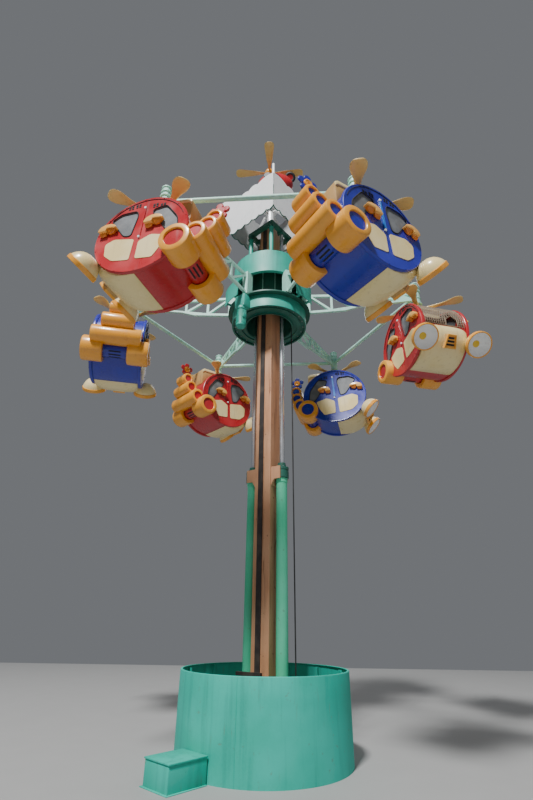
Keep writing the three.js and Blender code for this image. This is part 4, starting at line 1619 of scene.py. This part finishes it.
    def log(self, form: Form, paint: Finish, radius: float, low: float, high: float, middle: Flat) -> None:
        """One round log along Y with recessed ends.

        Args:
            form: where it is added.
            paint: colour of the recessed ends.
            radius: radius of the log.
            low: where it starts along Y.
            high: where it ends.
            middle: X and height of its axis.
        """
        place = moved(middle[0], 0, middle[1]) @ turned(-math.pi / 2, "X")
        e = min(0.03, radius * 0.2)
        q = radius * 0.62
        form.use(Finish.ORANGE)
        form.lathe(
            [
                (0, low + 0.03), (q, low + 0.03), (q, low + 0.01), (q + 0.008, low), (radius - e, low),
                (radius - 0.3 * e, low + 0.3 * e), (radius, low + e), (radius, high - e),
                (radius - 0.3 * e, high - 0.3 * e), (radius - e, high), (q + 0.008, high), (q, high - 0.01),
                (q, high - 0.03), (0, high - 0.03),
            ],
            place, 44,
        )
        form.use(paint)
        q -= 0.001
        form.lathe([(0, low + 0.022), (q, low + 0.024), (q, low + 0.0295), (0, low + 0.0295)], place, 36)
        form.lathe([(0, high - 0.0295), (q, high - 0.0295), (q, high - 0.024), (0, high - 0.022)], place, 36)

    def logs(self, form: Form, paint: Finish) -> None:
        """Round logs behind the body and the flower on its stalk.

        Args:
            form: where they are added.
            paint: colour of the recessed ends and the petals.
        """
        for radius, low, high, x, z in self.log_rows:
            self.log(form, paint, radius, low, high, (x, z))
        hub = moved(-0.585, 0, -0.333)
        form.use(paint)
        form.lathe(band(0, 0.126, -0.202, 0.202), hub @ turned(-math.pi / 2, "X"), 40)
        form.use(Finish.SHADE)
        for k in (-1, 0, 1):
            slot = hub @ turned(math.radians(-62 + 28 * k), "Y")
            form.block((-0.1275, -0.1, -0.012), (-0.116, 0.1, 0.012), slot)

        x, y, z = self.flower
        form.use(Finish.ORANGE)
        form.tube([Vector((x, 0.02, 0.43)), Vector((x - 0.004, 0.015, 0.52)), Vector((x, 0.0, z))], 0.028, 14)
        face = moved(x, y, z) @ turned(math.pi / 2, "X")
        form.use(paint)
        for k in range(5):
            petal = face @ turned(2 * math.pi * (k + 0.25) / 5) @ moved(0.092, 0, 0)
            for turn in (-0.32, 0.32):
                lobe = petal @ turned(turn) @ moved(0.012, 0, 0)
                form.lathe(
                    [(0, -0.036), (0.04, -0.034), (0.052, -0.024), (0.054, -0.012), (0.046, 0.0), (0, 0.002)],
                    lobe, 18,
                )
        form.lathe(band(0, 0.08, -0.038, -0.002), face, 24)
        form.use(Finish.ORANGE)
        form.lathe(
            [(0, 0.012), (0.03, 0.013), (0.05, 0.02), (0.066, 0.014), (0.07, 0), (0.07, -0.006), (0, -0.006)],
            face, 28,
        )
        form.use(Finish.DEEP_ORANGE)
        form.lathe([(0, 0.017), (0.022, 0.016), (0.03, 0.01), (0, 0.008)], face, 20)

    def top(self, form: Form) -> None:
        """Blades, their hub and the hanging shaft.

        Args:
            form: where they are added.
        """
        sections = [
            (0.04, 0.05, 0.022), (0.12, 0.05, 0.02), (0.3, 0.044, 0.019), (0.44, 0.047, 0.018),
            (0.53, 0.075, 0.018), (0.61, 0.115, 0.018), (0.69, 0.128, 0.018), (0.76, 0.112, 0.017),
            (0.795, 0.06, 0.012),
        ]
        mesh, finishes = paddle(sections, self.blade_height)
        for k in range(4):
            form.add(mesh, finishes, turned(math.radians(self.blade_start + 90 * k)))
        form.use(Finish.CREAM)
        disc = [(0, 0.69), (0.09, 0.69), (0.095, 0.7), (0.095, 0.765), (0.085, 0.776), (0, 0.776)]
        form.lathe(disc, None, 40)
        form.use(Finish.STEEL)
        shaft = [(0, 0.77), (0.058, 0.77), (0.058, 0.8595), (0.04, 0.8595), (0.04, 1.25), (0, 1.25)]
        form.lathe(shaft, None, 32)

    def fairing(self) -> tuple[bpy.types.Mesh, list[Finish]]:
        """Engine cover from the rotor down to the logs.

        Returns:
            The mesh and its finishes.
        """
        spine = [
            (0.25, 0.48), (0.215, 0.638), (0.12, 0.703), (-0.3, 0.703), (-0.56, 0.678), (-0.608, 0.64),
            (-0.6, 0.32),
        ]
        under = [self.hull_point(math.radians(angle), 0.001) for angle in range(152, 62, -8)]
        # The sides take a darker tan and the cap along the top takes cream: painted shade and painted light
        # on one tan-cream moulding.
        form = Form().use(Finish.BROWN)
        form.side_prism([*spine, *under], -0.236, 0.236)
        form.use(Finish.CREAM)
        roof = spine[:-1]
        upper = [(x, z + 0.002) for x, z in roof]
        lower = [(x * 0.985, z - 0.06) for x, z in reversed(roof)]
        form.side_prism([*upper, *lower], -0.25, 0.25)
        return form.pattern("fairing", bevel=0.008, merge=False)

    def in_hatch(self, point: Vector) -> bool:
        """Whether a point of the screen lies in the five-sided hatch.

        Args:
            point: the point.

        Returns:
            True inside the hatch.
        """
        hatch = [Vector(corner) for corner in self.hatch]
        spot = Vector((point.y, math.atan2(point.z, point.x)))
        sides = zip(hatch, hatch[1:] + hatch[:1])
        return all((end - start).cross(spot - start) > 0 for start, end in sides)

    def screen(self) -> bpy.types.Mesh:
        """Sheet of crossing lines over the windscreen.

        Returns:
            A mesh whose edges are the wires.
        """
        across, along = 22, 20
        half = self.screen_half
        made = bmesh.new()
        rows = []
        for j in range(along + 1):
            x, z = self.hull_point(math.radians(-6 + 84 * j / along), self.screen_gap)
            shift = 0.5 * (j % 2)
            row = []
            for i in range(across + 1):
                y = -half + 2 * half * min(max(i + shift - 0.25, 0), across) / across
                row.append(made.verts.new((x, y, z)))
            rows.append(row)
        for j in range(along):
            for i in range(across + 1):
                for end in (i, i + 1 if j % 2 else i - 1):
                    if not 0 <= end <= across:
                        continue
                    points = (rows[j][i], rows[j + 1][end])
                    if not self.in_hatch((points[0].co + points[1].co) / 2):
                        made.edges.new(points)
        mesh = bpy.data.meshes.new("screen sheet")
        made.to_mesh(mesh)
        made.free()
        return mesh

    def hatch_border(self, form: Form) -> None:
        """Wire round the five-sided hatch in the screen.

        Args:
            form: where it is added.
        """
        form.use(Finish.SCREEN)
        path = []
        for i, (y0, t0) in enumerate(self.hatch):
            y1, t1 = self.hatch[(i + 1) % len(self.hatch)]
            for k in range(4):
                x, z = self.hull_point(t0 + (t1 - t0) * k / 4, self.screen_gap)
                path.append(Vector((x, y0 + (y1 - y0) * k / 4, z)))
        form.tube([*path, path[0]], 0.008, 8)

    def seat(self, form: Form) -> None:
        """Bench inside the cabin.

        Args:
            form: where it is added.
        """
        form.use(Finish.SHADE)
        form.block((-0.52, -0.42, -0.33), (-0.12, 0.42, -0.252))
        form.block((-0.575, -0.42, -0.26), (-0.505, 0.42, 0.09))

    def build(self) -> None:
        """Makes all six cabins."""
        woven = WireCloth(Finish.SCREEN).weave("screen", self.screen(), self.screen_wire)
        nose = self.nose()
        fairing = self.fairing()
        for paint, numbers in ((Finish.RED, (1, 3, 5)), (Finish.BLUE, (2, 4, 6))):
            slot = Slot.RED if paint is Finish.RED else Slot.BLUE
            parts = {}
            body = Form()
            body.add(*self.shell(paint))
            self.seat(body)
            self.side_details(body, paint)
            parts["body"] = (body.object("body", merge=False), slot, "cabin")
            front = Form()
            front.add(*nose)
            self.grille(front)
            self.lamps(front)
            self.hatch_border(front)
            parts["front"] = (front.object("front", merge=False), Slot.CREAM, "nose")
            tail = Form()
            self.logs(tail, paint)
            parts["logs"] = (tail.object("logs", merge=False), Slot.ORANGE, "tail")
            top = Form()
            self.top(top)
            top.add(*fairing)
            parts["blades"] = (top.object("blades", merge=False), Slot.BLADE, "rotor")
            grips = Form()
            self.handles(grips)
            parts["handles"] = (grips.object("handles", 0.006, 2, merge=False), Slot.ORANGE, None)
            parts["screen"] = (woven, Slot.ROD, None)
            for number in numbers:
                self.place(parts, number)
            for key, (made, _, _) in parts.items():
                if key != "screen":
                    bpy.data.objects.remove(made)
        bpy.data.objects.remove(woven)

    def place(self, parts: dict, number: int) -> None:
        """Copies the parts to one arm tip.

        Args:
            parts: part name to object, slot and the node it stands for.
            number: which cabin.
        """
        at = moved(*arm_tip(number - 1, CABIN_HEIGHT)) @ turned(math.radians(CABIN_HEADINGS[number - 1]))
        for key, (made, slot, node) in parts.items():
            copy = new_object(f"cabin_{number}_{key}", made.data.copy())
            copy.data.transform(at)
            nodes = [f"gondola_{number}_{node}"] if node else []
            give(copy, f"gondola_{number}", slot, *nodes)


@dataclass
class Crown:
    """Open box of cloud boards on the mast's head with a small helicopter in the middle."""

    line: float = 0.59
    wall: float = 0.02
    lining: float = 0.006
    hem_top: float = 8.925
    hem_depth: float = 0.05
    hem_pitch: float = 0.195
    top: Outline = (
        (0, 9.84), (0.22, 9.9), (0.44, 9.85), (0.57, 9.905), (0.7, 9.845), (0.83, 9.885), (0.95, 9.83),
    )
    free_end: Outline = (
        (1.17, 8.925), (1.24, 8.965), (1.37, 9.06), (1.5, 9.2), (1.61, 9.38), (1.68, 9.6), (1.69, 9.83),
        (1.65, 9.99), (1.56, 10.08), (1.4, 10.085), (1.2, 10.03), (1.06, 9.93),
    )
    hub: Point = (-0.03, 0.0, 10.9)
    body: Point = (0.11, 0.0, 10.5)
    body_half: Point = (0.398, 0.228, 0.279)
    wheel: Point = (0.442, 0.0, 10.746)
    ball_radius: float = 0.1025

    def hem(self, length: float) -> list[Flat]:
        """Hanging scallops of a board's lower edge.

        Args:
            length: how far along the board they run.

        Returns:
            Points along the board and their heights.
        """
        steps = 48
        places = [length * i / steps for i in range(steps + 1)]
        depths = [self.hem_depth * abs(math.sin(math.pi * s / self.hem_pitch)) for s in places]
        return [(s, self.hem_top - depth) for s, depth in zip(places, depths)]

    def crest(self) -> list[Flat]:
        """Round bumps of a board's top edge, from its far side to the corner.

        Returns:
            Points along the board and their heights.
        """
        points = [self.top[0]]
        for i in range(0, len(self.top) - 2, 2):
            start, peak, end = self.top[i : i + 3]
            for k in range(1, 9):
                u = k / 8
                base = start[1] + (end[1] - start[1]) * u
                bump = peak[1] - (start[1] + end[1]) / 2
                points.append((start[0] + (end[0] - start[0]) * u, base + bump * (1 - (2 * u - 1) ** 2)))
        return list(reversed(points))

    def pair(self, name: str, outline: list[Flat], hem: list[Flat], turn: float, node: str) -> None:
        """Makes two boards that meet on a corner post.

        Args:
            name: the piece's name.
            outline: a board's outline from the shared corner.
            hem: the outline's lower edge.
            turn: turn about Z.
            node: the CAD node it stands for.
        """
        place = turned(turn)
        swapped = Matrix(((0, -1, 0, 0), (-1, 0, 0, 0), (0, 0, 1, 0), (0, 0, 0, 1)))
        form = Form()
        line, inner = self.line, self.line - self.wall
        for side in (place, place @ swapped):
            form.use(Finish.ROOF)
            flat = [(line - s, z) for s, z in outline]
            form.side_prism(flat, -line, -inner - self.lining, side)
            form.use(Finish.LINING)
            behind = [(min(x, inner), z) for x, z in flat]
            form.side_prism(behind, -inner - self.lining - 0.0005, -inner, side)
            form.use(Finish.DARK_GREEN)
            edge = [side @ Vector((line - s, -line + self.wall / 2, z + 0.004)) for s, z in hem]
            form.tube(edge, self.wall / 2 + 0.0015, 8)
        form.use(Finish.ROOF)
        middle = place @ moved(inner - 0.008, -inner + 0.008, 0)
        form.lathe([(0, 8.99), (0.028, 8.99), (0.028, 10.142), (0.02, 10.15), (0, 10.15)], middle, 24)
        # A thin dark green block down the corner stands for the dark slit where the boards meet: painted
        # shade in the slit.
        form.use(Finish.DARK_GREEN)
        corner = place @ moved(line, -line, 0)
        form.block((-0.006, -0.0012, 9.23), (0.0012, 0.006, 9.5), corner)
        form.piece(name, "base", Slot.ROOF, node, merge=False)

    def build(self) -> None:
        """Makes the boards, the post and the small helicopter."""
        hem = self.hem(self.free_end[0][0])
        front = [*hem, *self.free_end[1:], *self.crest()]
        self.pair("crown_front", front, hem, CROWN_TURN, "roof_front")
        butt = 2 * self.line - self.wall - 0.0003
        hem = self.hem(butt)
        back = [*hem, (butt, 9.84), (1.06, 9.885), *self.crest()]
        self.pair("crown_back", back, hem, CROWN_TURN + math.pi, "roof_back")
        dress("roof_post", Finish.ROOF, 0.003)
        self.helicopter()

    def helicopter(self) -> None:
        """Makes the small helicopter and its rotor."""
        form = Form().use(Finish.RED)
        x, y, z = self.hub
        long, wide, tall = self.body_half
        rows = []
        for i in range(1, 20):
            t = math.pi * i / 20
            ring = [(wide * math.sin(t) * c, tall * math.sin(t) * s) for c, s in ellipse(1, 1, 36)]
            rows.append([Vector(self.body) + Vector((long * math.cos(t), a, b)) for a, b in ring])
        form.rings(rows)
        neck = [(0, 10.65), (0.095, 10.65), (0.08, 10.8), (0.05, 10.829), (0, 10.829)]
        form.lathe(neck, moved(x, y, 0), 32)
        form.tube([Vector((0.3, 0, 10.6)), Vector((0.4, 0, 10.72))], 0.03, 16)
        form.lathe(band(0, 0.088, 10.2255, 10.3), None, 32)
        place = moved(*self.wheel) @ turned(math.radians(35 - 90), "X")
        form.lathe(band(0, 0.062, -0.018, 0.018), place, 28)
        form.use(Finish.CABLE)
        tyre = [(0.09 + 0.034 * c, 0.029 * s) for c, s in ellipse(1, 1, 12)]
        form.lathe(tyre, place, 40, True)
        form.use(Finish.PANE)
        for side in (-1, 1):
            pane = moved(-0.06, side * 0.2, 10.56) @ turned(math.pi / 2, "X")
            form.lathe([(0, -0.02), (0.085, -0.02), (0.095, 0.0), (0.085, 0.02), (0, 0.02)], pane, 28)
        form.piece("small_helicopter", "base", Slot.RED, "roof_helicopter", merge=False)

        rotor = Form().use(Finish.ORANGE)
        radius = self.ball_radius
        half_turn = [math.pi * i / 16 for i in range(1, 16)]
        ball = [(radius * math.sin(t), z - radius * math.cos(t)) for t in half_turn]
        rotor.lathe([(0, z - radius), *ball, (0, z + radius)], moved(x, y, 0), 32)
        sections = [
            (0.06, 0.026, 0.012), (0.22, 0.032, 0.011), (0.34, 0.074, 0.011), (0.52, 0.088, 0.011),
            (0.66, 0.116, 0.011), (0.74, 0.104, 0.01), (0.77, 0.05, 0.008),
        ]
        mesh, finishes = paddle(sections, z)
        for k in range(4):
            rotor.add(mesh, finishes, moved(x, y, 0) @ turned(math.pi / 2 * k))
        rotor.piece("small_rotor", "base", Slot.ORANGE, "roof_rotor", merge=False)


@dataclass
class Studio:
    """Camera at the photograph's place, pale floor and soft lights."""

    lens: float = 20.552
    eye: Point = (0.145, -7.167, 1.563)
    pitch: float = math.radians(26.074)
    roll: float = math.radians(0.797)
    yaw: float = math.radians(-1.383)
    floor_half: float = 14
    sky: Colour = (0.86, 0.9, 0.96)
    sky_strength: float = 0.19
    aim: Point = (0, 0, 5.5)
    lights: tuple[tuple[str, Point, float, float], ...] = (
        ("key", (-7.5, -20.5, 32), 20000, 4),
        ("fill", (10, -8, 7), 40, 6),
        ("back", (3, 12, 15), 500, 10),
    )

    def build(self) -> None:
        """Sets up the camera, floor and lights."""
        flat = math.cos(self.pitch)
        ahead = Vector((math.sin(self.yaw) * flat, math.cos(self.yaw) * flat, math.sin(self.pitch)))
        level = Vector((math.cos(self.yaw), -math.sin(self.yaw), 0))
        above = level.cross(ahead)
        right = level * math.cos(self.roll) + above * math.sin(self.roll)
        up = above * math.cos(self.roll) - level * math.sin(self.roll)
        data = bpy.data.cameras.new("camera")
        data.lens = self.lens
        data.sensor_width = 36
        data.clip_end = 200
        camera = new_object("camera", data)
        turn = Matrix((right, up, -ahead)).transposed().to_4x4()
        camera.matrix_world = moved(*self.eye) @ turn
        bpy.context.scene.camera = camera

        floor = Form()
        half = self.floor_half
        floor.block((-half, -half, -0.05), (half, half, 0))
        made = floor.object("floor")
        shader = Shader("studio floor")
        speck = shader.noise(2.0, 3).between(0.3, 0.7)
        colour = shader.mix(speck * 0.3, (0.36, 0.36, 0.355), (0.33, 0.33, 0.325))
        made.data.materials.append(shader.finish({"Base Color": colour, "Roughness": 0.8}))

        world = bpy.data.worlds.new("studio")
        bpy.context.scene.world = world
        world.use_nodes = True
        background = world.node_tree.nodes["Background"]
        background.inputs[0].default_value = (*self.sky, 1)
        background.inputs[1].default_value = self.sky_strength
        for light in self.lights:
            self.light(*light)

    def light(self, name: str, place: Point, power: float, size: float) -> None:
        """Adds a soft square light that looks at the hub.

        Args:
            name: its name.
            place: where it stands.
            power: watts.
            size: side of the square.
        """
        data = bpy.data.lights.new(name, "AREA")
        data.energy = power
        data.size = size
        made = new_object(name, data)
        aim = Vector(self.aim) - Vector(place)
        made.matrix_world = moved(*place) @ aim.to_track_quat("-Z", "Y").to_matrix().to_4x4()


def main() -> None:
    """Builds every piece in order."""
    logging.basicConfig(level=logging.INFO, format="%(name)s: %(message)s")
    for builder in (Studio, PitWall, Mast, Lift, Turntable, Cabin, Crown):
        builder().build()
    bpy.context.view_layer.update()


if __name__ == "__main__":
    main()
